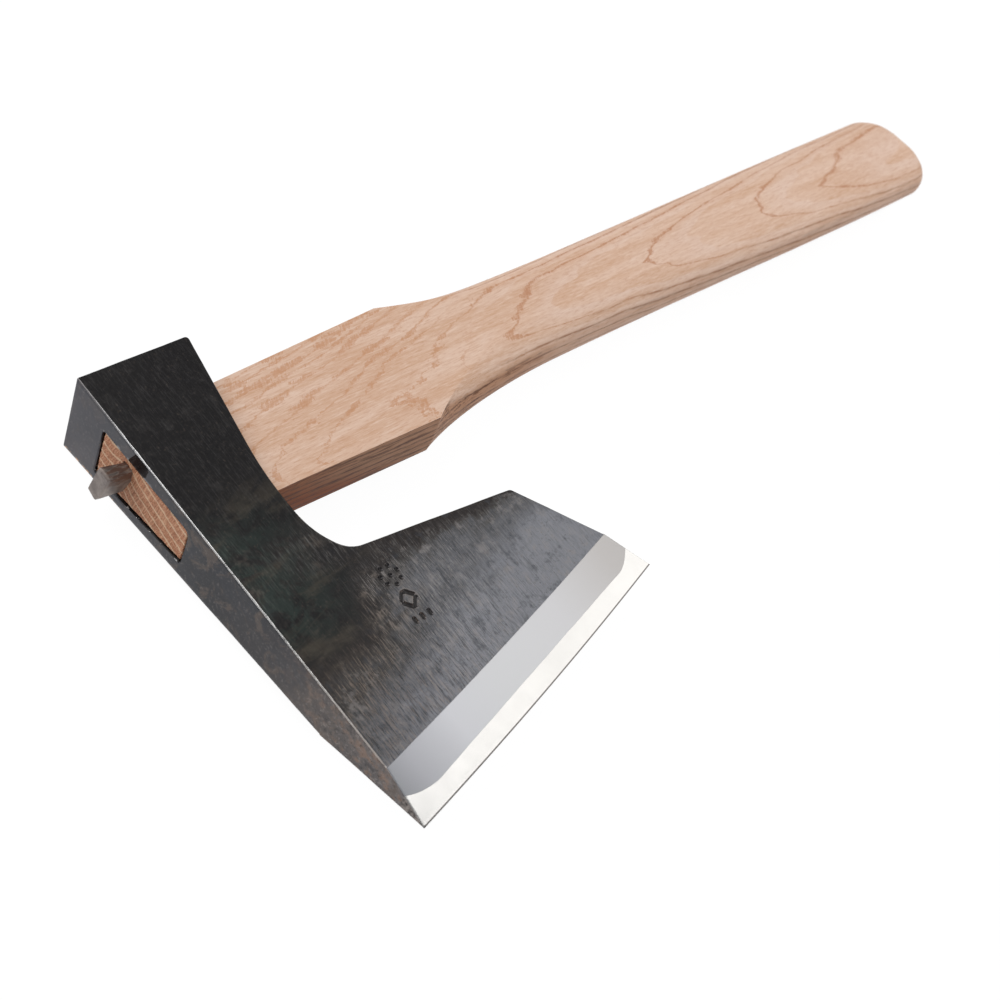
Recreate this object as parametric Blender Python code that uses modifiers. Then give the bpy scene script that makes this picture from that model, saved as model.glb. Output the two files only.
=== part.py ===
"""Bearded hatchet: forged head, welded edge steel, one-piece oak handle and a steel wedge.

Frame, in metres: +X runs along the handle to its butt, +Y is the outward normal of the poll
face, the cutting edge faces -Y, and +Z is the side of the upper cheek. The origin is the centre
of the poll face.
"""

import math

import bmesh
import bpy
from mathutils import Matrix, Vector

MM = 0.001

# All dimensions below are taken from the middle of the eye on the front face of the head.
# This is the centre of the poll face on that scale, and it becomes the origin.
POLL_CENTRE = (16.3, 29.2, 0.0)

# Head, in millimetres
POLL_Y = 29.2
POLL_WIDTH = 32.6
POLL_HALF_THICKNESS = 12.5
POLL_CORNER_RADIUS = 0.9
TOE_X = 0.5
TOE_Y = -102.9
EDGE_LENGTH = 105.0
EDGE_TILT = math.radians(12.26)
BEARD_TIP = (80.7, -45.5)
BEARD_TIP_RADIUS = 1.2
# Corners and radii of the concave back edge, from the beard to the poll
BACK_EDGE = ((29.7, -39.7, 7.6), (24.6, -30.8, 22.0), (24.2, -14.0, 100.0))
UPPER_CHEEK_SLOPE_X = -0.018
UPPER_CHEEK_SLOPE_Y = 0.070
LOWER_CHEEK_SLOPE_X = 0.018
LOWER_CHEEK_SLOPE_Y = -0.0427
UPPER_BEVEL_SLOPE = 0.2955
LOWER_BEVEL_SLOPE = 0.256
ARRIS = 0.45

# Edge steel, in millimetres
WELD_SETBACK = 4.4
WELD_TOE_RISE = 4.2
WELD_TOE_RUN = 12.5
WELD_HEEL_RISE = 5.5
WELD_HEEL_RUN = 11.0

# Eye and tenon, in millimetres
EYE_DEPTH = 34.0
NEAR_TENON = 16.45
NEAR_TAPER = 0.032
FAR_TENON = 16.55
FAR_TAPER = 0.0397
TENON_TOP = 5.4
TENON_TOP_SLOPE = 0.0248
TENON_BOTTOM = -7.0
TENON_BOTTOM_SLOPE = -0.095
BLOCK_TOP = 6.1
BLOCK_BOTTOM = -7.3
TENON_RECESS = 0.25

# Handle, in millimetres
HANDLE_LENGTH = 336.8
NEAR_SHOULDER_X = 80.0
FAR_SHOULDER_X = 89.4
NEAR_WAIST_X = 131.0
FAR_WAIST_X = 125.0
NEAR_WAIST = 13.5
FAR_WAIST = 17.2
NEAR_BUTT = 16.7
FAR_BUTT = 18.2
SWELL_END_X = 315.0
GRIP_HALF_THICKNESS = 7.1
SWELL_IN_X = 130.0
GRIP_POWER = 2.4
GRIP_FLAT = 0.30
BLOCK_FLAT = 0.985
NEAR_FADE_X = 132.0
FAR_FADE_X = 150.0
QUICK_FADE = 1.6
SLOW_FADE = 0.6
BUTT_CORNER_RADIUS = 10.0
BUTT_EDGE_RADIUS = 4.0

# Wedge, in millimetres
WEDGE_CENTRE = (8.0, -0.6)
WEDGE_LEAN = (-0.04, -0.11)
WEDGE_TILT = math.radians(-11.0)
WEDGE_WIDTH = 10.6
WEDGE_THICKNESS = 4.1
WEDGE_PROUD = 7.2
WEDGE_DEPTH = 19.0
WEDGE_TIP_THICKNESS = 1.2
WEDGE_CHAMFER = 0.9

GAP = 0.3

FLANK_STEPS = 6
FLAT_STEPS = 3
EYE_STRIPS = 8


def placed(point):
    """Turn a point in millimetres from the eye into metres from the poll face."""
    return (Vector(point) - Vector(POLL_CENTRE)) * MM


def edge_frame():
    """Toe corner, unit direction along the edge and unit direction from the edge to the poll."""
    toe = Vector((TOE_X, TOE_Y))
    along = Vector((math.cos(EDGE_TILT), math.sin(EDGE_TILT)))
    inward = Vector((-along.y, along.x))
    return toe, along, inward


def smooth(value):
    """Ease from 0 to 1 with level ends."""
    value = min(max(value, 0.0), 1.0)
    return value * value * (3.0 - 2.0 * value)


def reset_scene():
    """Empty the scene and make the two collections."""
    for item in list(bpy.data.objects):
        bpy.data.objects.remove(item)
    scene = bpy.context.scene
    parts = bpy.data.collections.new("bearded_hatchet")
    cutters = bpy.data.collections.new("cutters")
    scene.collection.children.link(parts)
    scene.collection.children.link(cutters)
    return parts, cutters


def paint(obj, name, colour, roughness, metallic):
    """Give an object its own Principled material."""
    material = bpy.data.materials.new(name)
    material.use_nodes = True
    shader = material.node_tree.nodes["Principled BSDF"]
    shader.inputs["Base Color"].default_value = (*colour, 1.0)
    shader.inputs["Roughness"].default_value = roughness
    shader.inputs["Metallic"].default_value = metallic
    obj.data.materials.clear()
    obj.data.materials.append(material)


def link_mesh(name, mesh, collection):
    """Put a mesh in the scene as a named object."""
    obj = bpy.data.objects.new(name, mesh)
    collection.objects.link(obj)
    return obj


def hide_cutter(obj):
    """Show a cutter as wires only."""
    obj.hide_render = True
    obj.display_type = "WIRE"
    return obj


def fillet(points, radii, step=math.radians(7.0)):
    """Round the corners of a closed outline with tangent arcs."""
    rounded = []
    count = len(points)
    for index, (point, radius) in enumerate(zip(points, radii)):
        corner = Vector(point)
        before = (Vector(points[index - 1]) - corner).normalized()
        after = (Vector(points[(index + 1) % count]) - corner).normalized()
        if radius <= 0.0:
            rounded.append(corner)
            continue
        half = before.angle(after) / 2.0
        bisector = (before + after).normalized()
        centre = corner + bisector * radius / math.sin(half)
        start = corner + before * radius / math.tan(half) - centre
        end = corner + after * radius / math.tan(half) - centre
        sweep = start.angle_signed(end)
        pieces = max(2, math.ceil(abs(sweep) / step))
        for piece in range(pieces + 1):
            turn = Matrix.Rotation(-sweep * piece / pieces, 2)
            rounded.append(centre + turn @ start)
    return rounded


def prism(name, points, half_height, collection):
    """Extrude a closed outline both ways along Z and turn the curve into a mesh object."""
    curve = bpy.data.curves.new(name + "_outline", "CURVE")
    curve.dimensions = "2D"
    curve.fill_mode = "BOTH"
    curve.extrude = half_height * MM
    spline = curve.splines.new("POLY")
    spline.points.add(len(points) - 1)
    for place, point in zip(spline.points, points):
        place.co = (*placed((point[0], point[1], 0.0)), 1.0)
    spline.use_cyclic_u = True
    drawn = bpy.data.objects.new(name + "_outline", curve)
    collection.objects.link(drawn)
    bpy.context.view_layer.update()
    evaluated = drawn.evaluated_get(bpy.context.evaluated_depsgraph_get())
    mesh = bpy.data.meshes.new_from_object(evaluated)
    mesh.name = name
    shape = bmesh.new()
    shape.from_mesh(mesh)
    bmesh.ops.remove_doubles(shape, verts=shape.verts, dist=0.00001)
    bmesh.ops.recalc_face_normals(shape, faces=shape.faces)
    shape.to_mesh(mesh)
    shape.free()
    matrix = drawn.matrix_world.copy()
    bpy.data.objects.remove(drawn)
    obj = link_mesh(name, mesh, collection)
    obj.matrix_world = matrix
    return obj


def slab(name, point, normal, collection):
    """A box cutter whose lower face lies on a plane and which fills the side of its normal."""
    size = 400.0
    normal = Vector(normal).normalized()
    turn = normal.to_track_quat("Z", "Y").to_matrix().to_4x4()
    centre = placed(Vector(point) + normal * size / 2.0)
    shape = bmesh.new()
    bmesh.ops.create_cube(shape, size=size * MM, matrix=Matrix.Translation(centre) @ turn)
    mesh = bpy.data.meshes.new(name)
    shape.to_mesh(mesh)
    shape.free()
    return hide_cutter(link_mesh(name, mesh, collection))


def boolean(obj, cutter, operation="DIFFERENCE"):
    """Add a Boolean modifier with the exact solver."""
    modifier = obj.modifiers.new(cutter.name, "BOOLEAN")
    modifier.operation = operation
    modifier.object = cutter
    modifier.solver = "EXACT"


def soften(obj):
    """Break sharp corners with a narrow round."""
    modifier = obj.modifiers.new("arris", "BEVEL")
    modifier.width = ARRIS * MM
    modifier.segments = 2
    modifier.limit_method = "ANGLE"
    modifier.angle_limit = math.radians(28.0)
    modifier.use_clamp_overlap = True


def loft(name, rings, collection):
    """Skin closed rings of equal point count and cap both ends."""
    shape = bmesh.new()
    rows = [[shape.verts.new(placed(point)) for point in ring] for ring in rings]
    count = len(rows[0])
    for first, second in zip(rows, rows[1:]):
        for index in range(count):
            following = (index + 1) % count
            corners = (first[index], first[following], second[following], second[index])
            shape.faces.new(corners)
    shape.faces.new(rows[0])
    shape.faces.new(rows[-1])
    bmesh.ops.recalc_face_normals(shape, faces=shape.faces)
    mesh = bpy.data.meshes.new(name)
    shape.to_mesh(mesh)
    shape.free()
    return link_mesh(name, mesh, collection)


def head_outline():
    """Side profile of the head, run past the cutting edge so that the bevels form the edge."""
    toe, along, _ = edge_frame()
    heel = toe + along * EDGE_LENGTH
    tip = Vector(BEARD_TIP)
    front = Vector((0.0, POLL_Y))
    past_toe = toe + (toe - front).normalized() * 6.0
    past_heel = heel + (heel - tip).normalized() * 6.0
    points = [front, past_toe, past_heel, tip]
    radii = [0.0, 0.0, 0.0, BEARD_TIP_RADIUS]
    for across, along, radius in BACK_EDGE:
        points.append(Vector((across, along)))
        radii.append(radius)
    points.append(Vector((POLL_WIDTH, POLL_Y)))
    radii.append(POLL_CORNER_RADIUS)
    return fillet(points, radii)


def head_cutters(collection):
    """Planes of the two cheeks and the two bevels."""
    toe, _, inward = edge_frame()
    corner = (0.0, POLL_Y, POLL_HALF_THICKNESS)
    under = (0.0, POLL_Y, -POLL_HALF_THICKNESS)
    edge = (toe.x, toe.y, 0.0)
    rise = inward * UPPER_BEVEL_SLOPE
    fall = inward * LOWER_BEVEL_SLOPE
    upper_cheek = (-UPPER_CHEEK_SLOPE_X, -UPPER_CHEEK_SLOPE_Y, 1.0)
    lower_cheek = (LOWER_CHEEK_SLOPE_X, LOWER_CHEEK_SLOPE_Y, -1.0)
    cheeks = [slab("cut_upper_cheek", corner, upper_cheek, collection),
              slab("cut_lower_cheek", under, lower_cheek, collection)]
    bevels = [slab("cut_upper_bevel", edge, (-rise.x, -rise.y, 1.0), collection),
              slab("cut_lower_bevel", edge, (-fall.x, -fall.y, -1.0), collection)]
    return cheeks, bevels


def weld_line(shift):
    """Closed outline of the zone in front of the forge weld, which turns up at both corners."""
    toe, along, inward = edge_frame()
    start = -4.0
    end = EDGE_LENGTH + 4.0
    pieces = 48
    line = []
    for piece in range(pieces + 1):
        run = start + (end - start) * piece / pieces
        toe_lift = WELD_TOE_RISE * max(0.0, 1.0 - run / WELD_TOE_RUN) ** 2
        heel_run = EDGE_LENGTH - run
        heel_lift = WELD_HEEL_RISE * max(0.0, 1.0 - heel_run / WELD_HEEL_RUN) ** 2
        line.append(toe + along * run + inward * (WELD_SETBACK + toe_lift + heel_lift + shift))
    beyond = [toe + along * end - inward * 12.0, toe + along * start - inward * 12.0]
    return line + beyond


def forged_blank(name, cheeks, bevels, collection):
    """The whole wedge-shaped forging, before the weld line divides it."""
    blank = prism(name, head_outline(), 20.0, collection)
    for cutter in cheeks:
        boolean(blank, cutter)
    soften(blank)
    for cutter in bevels:
        boolean(blank, cutter)
    return blank


def handle_limits(along):
    """Top and bottom heights of the handle at its axis, and how they tilt across its width."""
    part = min(max(along / EYE_DEPTH, 0.0), 1.0)
    top = TENON_TOP + (BLOCK_TOP - TENON_TOP) * part
    bottom = TENON_BOTTOM + (BLOCK_BOTTOM - TENON_BOTTOM) * part
    middle = (BLOCK_TOP + BLOCK_BOTTOM) / 2.0
    swell = smooth((along - FAR_SHOULDER_X) / (SWELL_IN_X - FAR_SHOULDER_X))
    top += (middle + GRIP_HALF_THICKNESS - BLOCK_TOP) * swell
    bottom += (middle - GRIP_HALF_THICKNESS - BLOCK_BOTTOM) * swell
    return top, bottom, TENON_TOP_SLOPE * (1.0 - part), TENON_BOTTOM_SLOPE * (1.0 - part)


def grip_width(along, shoulder_x, corner, waist_x, waist, butt):
    """Distance from the axis to one side behind its shoulder: hollow, waist, then swell."""
    if along < waist_x:
        return waist + (corner - waist) * ((waist_x - along) / (waist_x - shoulder_x)) ** 2
    return waist + (butt - waist) * smooth((along - waist_x) / (SWELL_END_X - waist_x))


def near_width(along):
    """Distance from the axis to the side that faces the cutting edge."""
    if along <= NEAR_SHOULDER_X:
        return NEAR_TENON + NEAR_TAPER * along
    corner = NEAR_TENON + NEAR_TAPER * NEAR_SHOULDER_X
    return grip_width(along, NEAR_SHOULDER_X, corner, NEAR_WAIST_X, NEAR_WAIST, NEAR_BUTT)


def far_width(along):
    """Distance from the axis to the side that faces away from the cutting edge."""
    if along <= FAR_SHOULDER_X:
        return FAR_TENON + FAR_TAPER * along
    corner = FAR_TENON + FAR_TAPER * FAR_SHOULDER_X
    return grip_width(along, FAR_SHOULDER_X, corner, FAR_WAIST_X, FAR_WAIST, FAR_BUTT)


def flat_share(along, shoulder, fade, pace):
    """Share of the half width that stays flat, from the whole block to a narrow crown."""
    if along <= shoulder:
        return BLOCK_FLAT
    part = min((along - shoulder) / (fade - shoulder), 1.0)
    return GRIP_FLAT + (BLOCK_FLAT - GRIP_FLAT) * (1.0 - part) ** pace


def quarter(width, height, share):
    """Points from the middle of a side up its flank and in over the flat, as (across, up)."""
    power = GRIP_POWER
    rim = height / (1.0 - share ** power) ** (1.0 / power)
    points = []
    for step in range(FLANK_STEPS + 1):
        rise = height * math.sin(math.pi / 2.0 * step / FLANK_STEPS)
        points.append((width * (1.0 - (rise / rim) ** power) ** (1.0 / power), rise))
    for step in range(1, FLAT_STEPS):
        points.append((width * share * (1.0 - step / FLAT_STEPS), height))
    return points


def handle_ring(along, inset_width=0.0, inset_height=0.0):
    """One closed cross-section of the handle."""
    near = near_width(along) - inset_width
    far = far_width(along) - inset_width
    top, bottom, top_slope, bottom_slope = handle_limits(along)
    middle = (top + bottom) / 2.0
    height = (top - bottom) / 2.0 - inset_height
    far_flat = flat_share(along, FAR_SHOULDER_X, FAR_FADE_X, SLOW_FADE)
    near_flat = flat_share(along, NEAR_SHOULDER_X, NEAR_FADE_X, QUICK_FADE)
    under_flat = flat_share(along, NEAR_SHOULDER_X, NEAR_FADE_X, SLOW_FADE)
    far_side = quarter(far, height, far_flat)
    near_top = quarter(near, height, near_flat)
    near_under = quarter(near, height, under_flat)
    upper = far_side + [(0.0, height)] + [(-y, z) for y, z in reversed(near_top)]
    lower = [(-y, -z) for y, z in near_under[1:]] + [(0.0, -height)]
    lower += [(y, -z) for y, z in reversed(far_side[1:])]
    ring = []
    for across, up in upper + lower:
        tilt = top_slope if up > 0.0 else bottom_slope
        ring.append((along, across, middle + up + tilt * across * abs(up) / height))
    return ring


def handle_stations():
    """Places of the cross-sections along the handle, closer together where it changes."""
    stations = [(TENON_RECESS, 0.0, 0.0)]
    for step in range(1, EYE_STRIPS + 1):
        stations.append((EYE_DEPTH * step / EYE_STRIPS, 0.0, 0.0))
    stations += [(60.0, 0.0, 0.0), (NEAR_SHOULDER_X, 0.0, 0.0)]
    place = NEAR_SHOULDER_X + 2.35
    while place < 155.0:
        stations.append((place, 0.0, 0.0))
        place += 2.35 if place < 110.0 else 5.0
    place = 165.0
    while place < HANDLE_LENGTH - BUTT_CORNER_RADIUS:
        stations.append((place, 0.0, 0.0))
        place += 14.0
    pieces = 9
    for piece in range(pieces + 1):
        turn = math.pi / 2.0 * piece / pieces
        run = BUTT_CORNER_RADIUS * math.sin(turn)
        width_inset = BUTT_CORNER_RADIUS * (1.0 - math.cos(turn))
        past = max(0.0, run - BUTT_CORNER_RADIUS + BUTT_EDGE_RADIUS)
        height_inset = BUTT_EDGE_RADIUS - math.sqrt(max(0.0, BUTT_EDGE_RADIUS ** 2 - past ** 2))
        stations.append((HANDLE_LENGTH - BUTT_CORNER_RADIUS + run, width_inset, height_inset))
    return stations


def eye_ring(along, clearance):
    """Section of the eye around the tenon: square corners, top and bottom in narrow strips."""
    far = FAR_TENON + FAR_TAPER * along + clearance
    near = NEAR_TENON + NEAR_TAPER * along + clearance
    top, bottom, top_slope, bottom_slope = handle_limits(along)
    upper = []
    lower = []
    for step in range(EYE_STRIPS + 1):
        across = far - (far + near) * step / EYE_STRIPS
        upper.append((along, across, top + clearance + top_slope * across))
        lower.append((along, across, bottom - clearance + bottom_slope * across))
    return upper + lower[::-1]


def wedge_ring(along, width, thickness, chamfer):
    """Chamfered bar section of the wedge, tilted about the handle's axis direction."""
    half_width = width / 2.0
    half_thickness = thickness / 2.0
    cut = min(chamfer, half_thickness * 0.5)
    outline = [(half_thickness, half_width - cut), (half_thickness - cut, half_width)]
    outline += [(-half_thickness + cut, half_width), (-half_thickness, half_width - cut)]
    outline += [(-across, -up) for across, up in outline]
    ring = []
    for across, up in outline:
        side = across * math.cos(WEDGE_TILT) + up * math.sin(WEDGE_TILT)
        height = -across * math.sin(WEDGE_TILT) + up * math.cos(WEDGE_TILT)
        side += WEDGE_CENTRE[0] + WEDGE_LEAN[0] * along
        height += WEDGE_CENTRE[1] + WEDGE_LEAN[1] * along
        ring.append((along, side, height))
    return ring


def wedge_rings(grow):
    """Sections of the wedge from its proud end down to its thin tip."""
    taper = (WEDGE_THICKNESS - WEDGE_TIP_THICKNESS) / WEDGE_DEPTH
    thick = WEDGE_THICKNESS + 2.0 * grow
    wide = WEDGE_WIDTH + 2.0 * grow
    proud = WEDGE_PROUD + grow
    rings = [wedge_ring(-proud, wide - 1.0, thick - 1.0, WEDGE_CHAMFER)]
    rings.append(wedge_ring(-proud + 0.5, wide, thick, WEDGE_CHAMFER))
    rings.append(wedge_ring(0.0, wide, thick, WEDGE_CHAMFER))
    tip_thick = WEDGE_TIP_THICKNESS + 2.0 * grow - taper * grow
    rings.append(wedge_ring(WEDGE_DEPTH + grow, wide - 0.6, tip_thick, WEDGE_CHAMFER))
    return rings


def build_head(parts, cutters, cheeks, bevels):
    """Soft-iron body with the tapered eye, set back from the weld line by the gap."""
    head = forged_blank("head", cheeks, bevels, parts)
    front = prism("cut_weld_zone", weld_line(GAP), 40.0, cutters)
    boolean(head, hide_cutter(front))
    inner = [EYE_DEPTH * step / EYE_STRIPS for step in range(EYE_STRIPS + 1)]
    places = [-3.0] + inner + [EYE_DEPTH + 6.0]
    eye = loft("cut_eye", [eye_ring(place, GAP) for place in places], cutters)
    boolean(head, hide_cutter(eye))
    paint(head, "forge_scale", (0.055, 0.053, 0.056), 0.42, 0.75)
    return head


def build_edge_steel(parts, cutters, cheeks, bevels):
    """Hardened steel strip that carries the cutting edge."""
    steel = forged_blank("edge_steel", cheeks, bevels, parts)
    keep = prism("keep_edge_zone", weld_line(0.0), 40.0, cutters)
    boolean(steel, hide_cutter(keep), "INTERSECT")
    paint(steel, "polished_steel", (0.86, 0.86, 0.85), 0.22, 1.0)
    return steel


def build_handle(parts, cutters):
    """One-piece oak handle: tenon, flat block, hollowed shoulders and oval grip."""
    rings = [handle_ring(*station) for station in handle_stations()]
    handle = loft("handle", rings, parts)
    kerf = loft("cut_wedge_kerf", wedge_rings(GAP), cutters)
    boolean(handle, hide_cutter(kerf))
    handle.data.shade_smooth()
    handle.data.set_sharp_from_angle(angle=math.radians(24.0))
    paint(handle, "white_oak", (0.62, 0.42, 0.30), 0.55, 0.0)
    return handle


def build_wedge(parts):
    """Steel wedge driven into the end grain, standing proud of the front face."""
    wedge = loft("wedge", wedge_rings(0.0), parts)
    paint(wedge, "dull_iron", (0.20, 0.17, 0.15), 0.5, 0.8)
    return wedge


def main():
    """Build every piece of the hatchet."""
    parts, cutters = reset_scene()
    cheeks, bevels = head_cutters(cutters)
    build_head(parts, cutters, cheeks, bevels)
    build_edge_steel(parts, cutters, cheeks, bevels)
    build_handle(parts, cutters)
    build_wedge(parts)


main()
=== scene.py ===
import math

import bmesh
import bpy
import numpy as np
from mathutils import Matrix, Vector, noise


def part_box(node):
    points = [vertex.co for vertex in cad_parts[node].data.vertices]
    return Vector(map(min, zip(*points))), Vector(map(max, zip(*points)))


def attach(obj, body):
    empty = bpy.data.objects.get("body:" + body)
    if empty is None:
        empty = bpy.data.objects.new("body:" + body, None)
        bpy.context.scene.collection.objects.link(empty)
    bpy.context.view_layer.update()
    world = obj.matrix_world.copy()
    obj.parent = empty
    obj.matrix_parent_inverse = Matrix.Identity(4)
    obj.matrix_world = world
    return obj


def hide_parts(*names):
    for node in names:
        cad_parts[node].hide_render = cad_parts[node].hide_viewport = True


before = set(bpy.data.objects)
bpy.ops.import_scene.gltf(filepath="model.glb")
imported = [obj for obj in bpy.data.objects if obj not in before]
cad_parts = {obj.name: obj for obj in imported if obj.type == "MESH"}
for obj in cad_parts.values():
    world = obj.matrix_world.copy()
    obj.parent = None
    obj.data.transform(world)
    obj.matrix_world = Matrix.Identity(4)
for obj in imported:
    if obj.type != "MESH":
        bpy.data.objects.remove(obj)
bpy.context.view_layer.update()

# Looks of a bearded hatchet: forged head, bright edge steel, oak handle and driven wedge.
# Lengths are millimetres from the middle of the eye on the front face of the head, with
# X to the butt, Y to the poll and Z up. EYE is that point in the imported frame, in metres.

MM = 0.001
BODY = "root"

# ---------------------------------------------------------------- places read from the frame

HEAD_LOW, HEAD_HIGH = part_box("head")
HANDLE_LOW, HANDLE_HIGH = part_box("handle")
POLL_Y = 29.2
EYE = Vector((HEAD_LOW.x, HEAD_HIGH.y - POLL_Y * MM, (HEAD_LOW.z + HEAD_HIGH.z) / 2.0))
POLL_HALF = (HEAD_HIGH.z - HEAD_LOW.z) / 2.0 / MM
HANDLE_LENGTH = (HANDLE_HIGH.x - EYE.x) / MM

# ---------------------------------------------------------------- head

POLL_WIDTH = 32.6
POLL_ROUND_BACK = 1.0
POLL_ROUND_FRONT = 0.35
POLL_ROUND_FLAT = 0.35
POLL_CAP_REACH = 12.4
FACE_LENGTH = 132.0
TOE = np.array([0.5, -102.9])
EDGE_LENGTH = 105.0
EDGE_TILT = math.radians(12.26)
ALONG = np.array([math.cos(EDGE_TILT), math.sin(EDGE_TILT)])
INWARD = np.array([-ALONG[1], ALONG[0]])
HEEL = TOE + ALONG * EDGE_LENGTH
BEARD_TIP = (80.7, -45.5)
BEARD_TIP_RADIUS = 1.2
# Corners and radii of the concave back edge, from the poll to the beard
BACK_EDGE = (((24.2, -14.0), 100.0), ((24.6, -30.8), 22.0), ((29.7, -39.7), 7.6))
EDGE_BOW = 0.85
BLUNT = 0.022
SHOULDER_SAG = 0.60
BACK_SHOULDER_SHIFT = 0.60
SAG_REACH = 22.0

WELD_SETBACK = 4.4
WELD_TOE_RISE = 4.2
WELD_TOE_RUN = 12.5
WELD_HEEL_RISE = 5.5
WELD_HEEL_RUN = 11.0
WELD_WAVE = 0.04
WELD_GAP = 0.015
FIRST_WELD_GUESS = 0.7
WELD_ROUNDS = 8

ARRIS = 0.42
BEVEL_ARRIS = 0.10
ROW_SPACING = 0.6
BEVEL_ROWS = 19
COLUMNS = 190
WALL_STEPS = 24
ARC_STEPS = 4
# Rows close together where the poll face turns over, and where the bevel starts
POLL_DEPTHS = (0.0, 0.02, 0.06, 0.12, 0.2, 0.3, 0.45, 0.62, 0.8)
SHOULDER_SLIDES = (0.0, 0.004, 0.012)

# ---------------------------------------------------------------- eye and tenon

EYE_DEPTH = 34.0
EYE_CORNER_RADII = (0.9, 2.2, 1.0, 0.9)
# Gap between tenon and eye: away from the edge, towards it, above, and below at each side
CLEAR_FAR = 0.42
CLEAR_NEAR = 0.30
CLEAR_TOP = 0.22
CLEAR_BOTTOM = 0.95
CLEAR_BOTTOM_NEAR = 1.15
CLEAR_BOTTOM_FAR = 0.6
TENON_TOP = 5.4
TENON_TOP_SLOPE = 0.0248
TENON_BOTTOM = -7.0
TENON_BOTTOM_SLOPE = -0.095
TENON_RECESS = 0.3
BLOCK_TOP = 6.1
BLOCK_BOTTOM = -7.3

# ---------------------------------------------------------------- punched mark

MARK_CENTRE = np.array([33.9, -55.2])
MARK_HALF = (6.5, 10.5)
MARK_DEPTH = 0.34
MARK_LIP = 0.05
PUNCH_RADIUS = 0.56
DOTS = 7
DOT_RING_RADIUS = 2.7
DOT_RING_PLACE = (0.1, 4.9)
LOZENGE = ((0.0, 0.2), (2.3, -2.4), (0.0, -5.0), (-2.3, -2.4))
LOZENGE_GAP = 0.18
DASHES = (-2.4, 0.0, 2.4)
DASH_PLACE = -7.2
DASH_LENGTH = 0.9

# ---------------------------------------------------------------- handle

# The side that faces the cutting edge and the one that faces away, measured from the axis
NEAR = {"tenon": 16.45, "taper": 0.032, "shoulder": 80.0, "waist_x": 131.0, "waist": 13.5,
        "butt": 16.7, "fade": 132.0}
FAR = {"tenon": 16.55, "taper": 0.0397, "shoulder": 89.4, "waist_x": 125.0, "waist": 17.2,
       "butt": 18.2, "fade": 150.0}
SWELL_IN_X = 130.0
SWELL_END_X = 315.0
GRIP_HALF_THICKNESS = 7.1
GRIP_POWER = 2.4
GRIP_FLAT = 0.30
BLOCK_FLAT = 0.985
QUICK_FADE = 1.6
SLOW_FADE = 0.6
BUTT_CORNER_RADIUS = 10.0
BUTT_EDGE_RADIUS = 4.0
BUTT_STEPS = 20
FLANK_STEPS = 26
FLAT_STEPS = 12

# ---------------------------------------------------------------- wedge

# Corners as (y, z), in the same order on the outer end and where the wedge enters the wood
WEDGE_OUTER = ((8.8, 5.3), (10.9, -4.8), (7.8, -5.9), (6.3, -3.7), (5.3, 1.4), (4.6, 4.9), (6.6, 5.3))
WEDGE_ENTRY = ((8.2, 3.9), (10.6, -5.8), (7.8, -7.1), (6.4, -5.1), (4.7, 0.5), (4.8, 3.8), (6.5, 3.9))
WEDGE_PROUD = 6.9
WEDGE_DEPTH = 19.0
WEDGE_TIP_SHARE = (0.3, 0.92)
WEDGE_CORNER = 0.035
WEDGE_SIDE_STEPS = 7
WEDGE_EDGE = 0.7
KERF_GROWTH = 0.22
KERF_SHIFT = (0.0, 0.22, 0.02)

# ---------------------------------------------------------------- stage

FLOOR_SIZE = 3.0
FLOOR_GAP = 0.2
FLOOR_GLOW = 1.12
FLOOR_GLOW_SHARE = 0.86
LIGHT_TARGET = (60.0, -30.0, 0.0)
# Name, direction from the object, distance, size and power
LIGHTS = (("key", (-0.25, 0.60, 0.76), 1.2, (1.2, 1.2), 9.0),
          ("panel", (0.76, -0.16, 0.63), 0.9, (0.5, 0.5), 1.9),
          ("fill", (0.15, -0.93, 0.30), 1.0, (1.2, 0.6), 1.5))
SKY = (0.95, 0.97, 1.0, 1.0)
SKY_STRENGTH = 0.30
CAMERA_AZIMUTH = math.radians(-65.0095)
CAMERA_ELEVATION = math.radians(46.1266)
CAMERA_ROLL = math.radians(28.2230)
CAMERA_TARGET = (80.63, -44.467, 0.0)
CAMERA_DISTANCE = 412.974
CAMERA_LENS = 57.673
CAMERA_SENSOR = 36.0
CAMERA_FOCUS = 0.40
CAMERA_STOP = 32.0


# ================================================================ small helpers

def lerp(start, end, share):
    """Mix two values or arrays."""
    return start + (end - start) * share


def smooth(value):
    """Ease from 0 to 1 with level ends."""
    value = np.clip(value, 0.0, 1.0)
    return value * value * (3.0 - 2.0 * value)


def unit(vectors):
    """Vectors along the last axis, brought to length 1."""
    return vectors / np.linalg.norm(vectors, axis=-1, keepdims=True)


def place(points):
    """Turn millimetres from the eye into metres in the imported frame."""
    return np.asarray(points, float) * MM + np.array(EYE)


def wobble(points, scale, shift=0.0):
    """Smooth noise from -1 to 1 at points given in millimetres."""
    offset = Vector((shift, shift * 1.7, -shift))
    return np.array([noise.noise(Vector(point) * scale + offset) for point in points])


def fine_wobble(points, scale, shift):
    """Noise with three octaves."""
    return (wobble(points, scale, shift) + 0.5 * wobble(points, scale * 2.1, shift + 5.0)
            + 0.25 * wobble(points, scale * 4.3, shift + 9.0)) / 1.4


def line_wobble(count, pace, shift):
    """Smooth noise from -1 to 1 along a row of numbers."""
    return wobble([(index * pace, shift, shift * 0.3) for index in range(count)], 1.0)


def link(name, data):
    """Add an object to the scene."""
    obj = bpy.data.objects.new(name, data)
    bpy.context.scene.collection.objects.link(obj)
    return obj


def mesh_object(name, points, faces):
    """Make an object from points in millimetres and faces, with normals pointing out."""
    mesh = bpy.data.meshes.new(name)
    mesh.from_pydata(place(points).tolist(), [], faces)
    shape = bmesh.new()
    shape.from_mesh(mesh)
    bmesh.ops.recalc_face_normals(shape, faces=shape.faces)
    shape.to_mesh(mesh)
    shape.free()
    return link(name, mesh)


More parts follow.
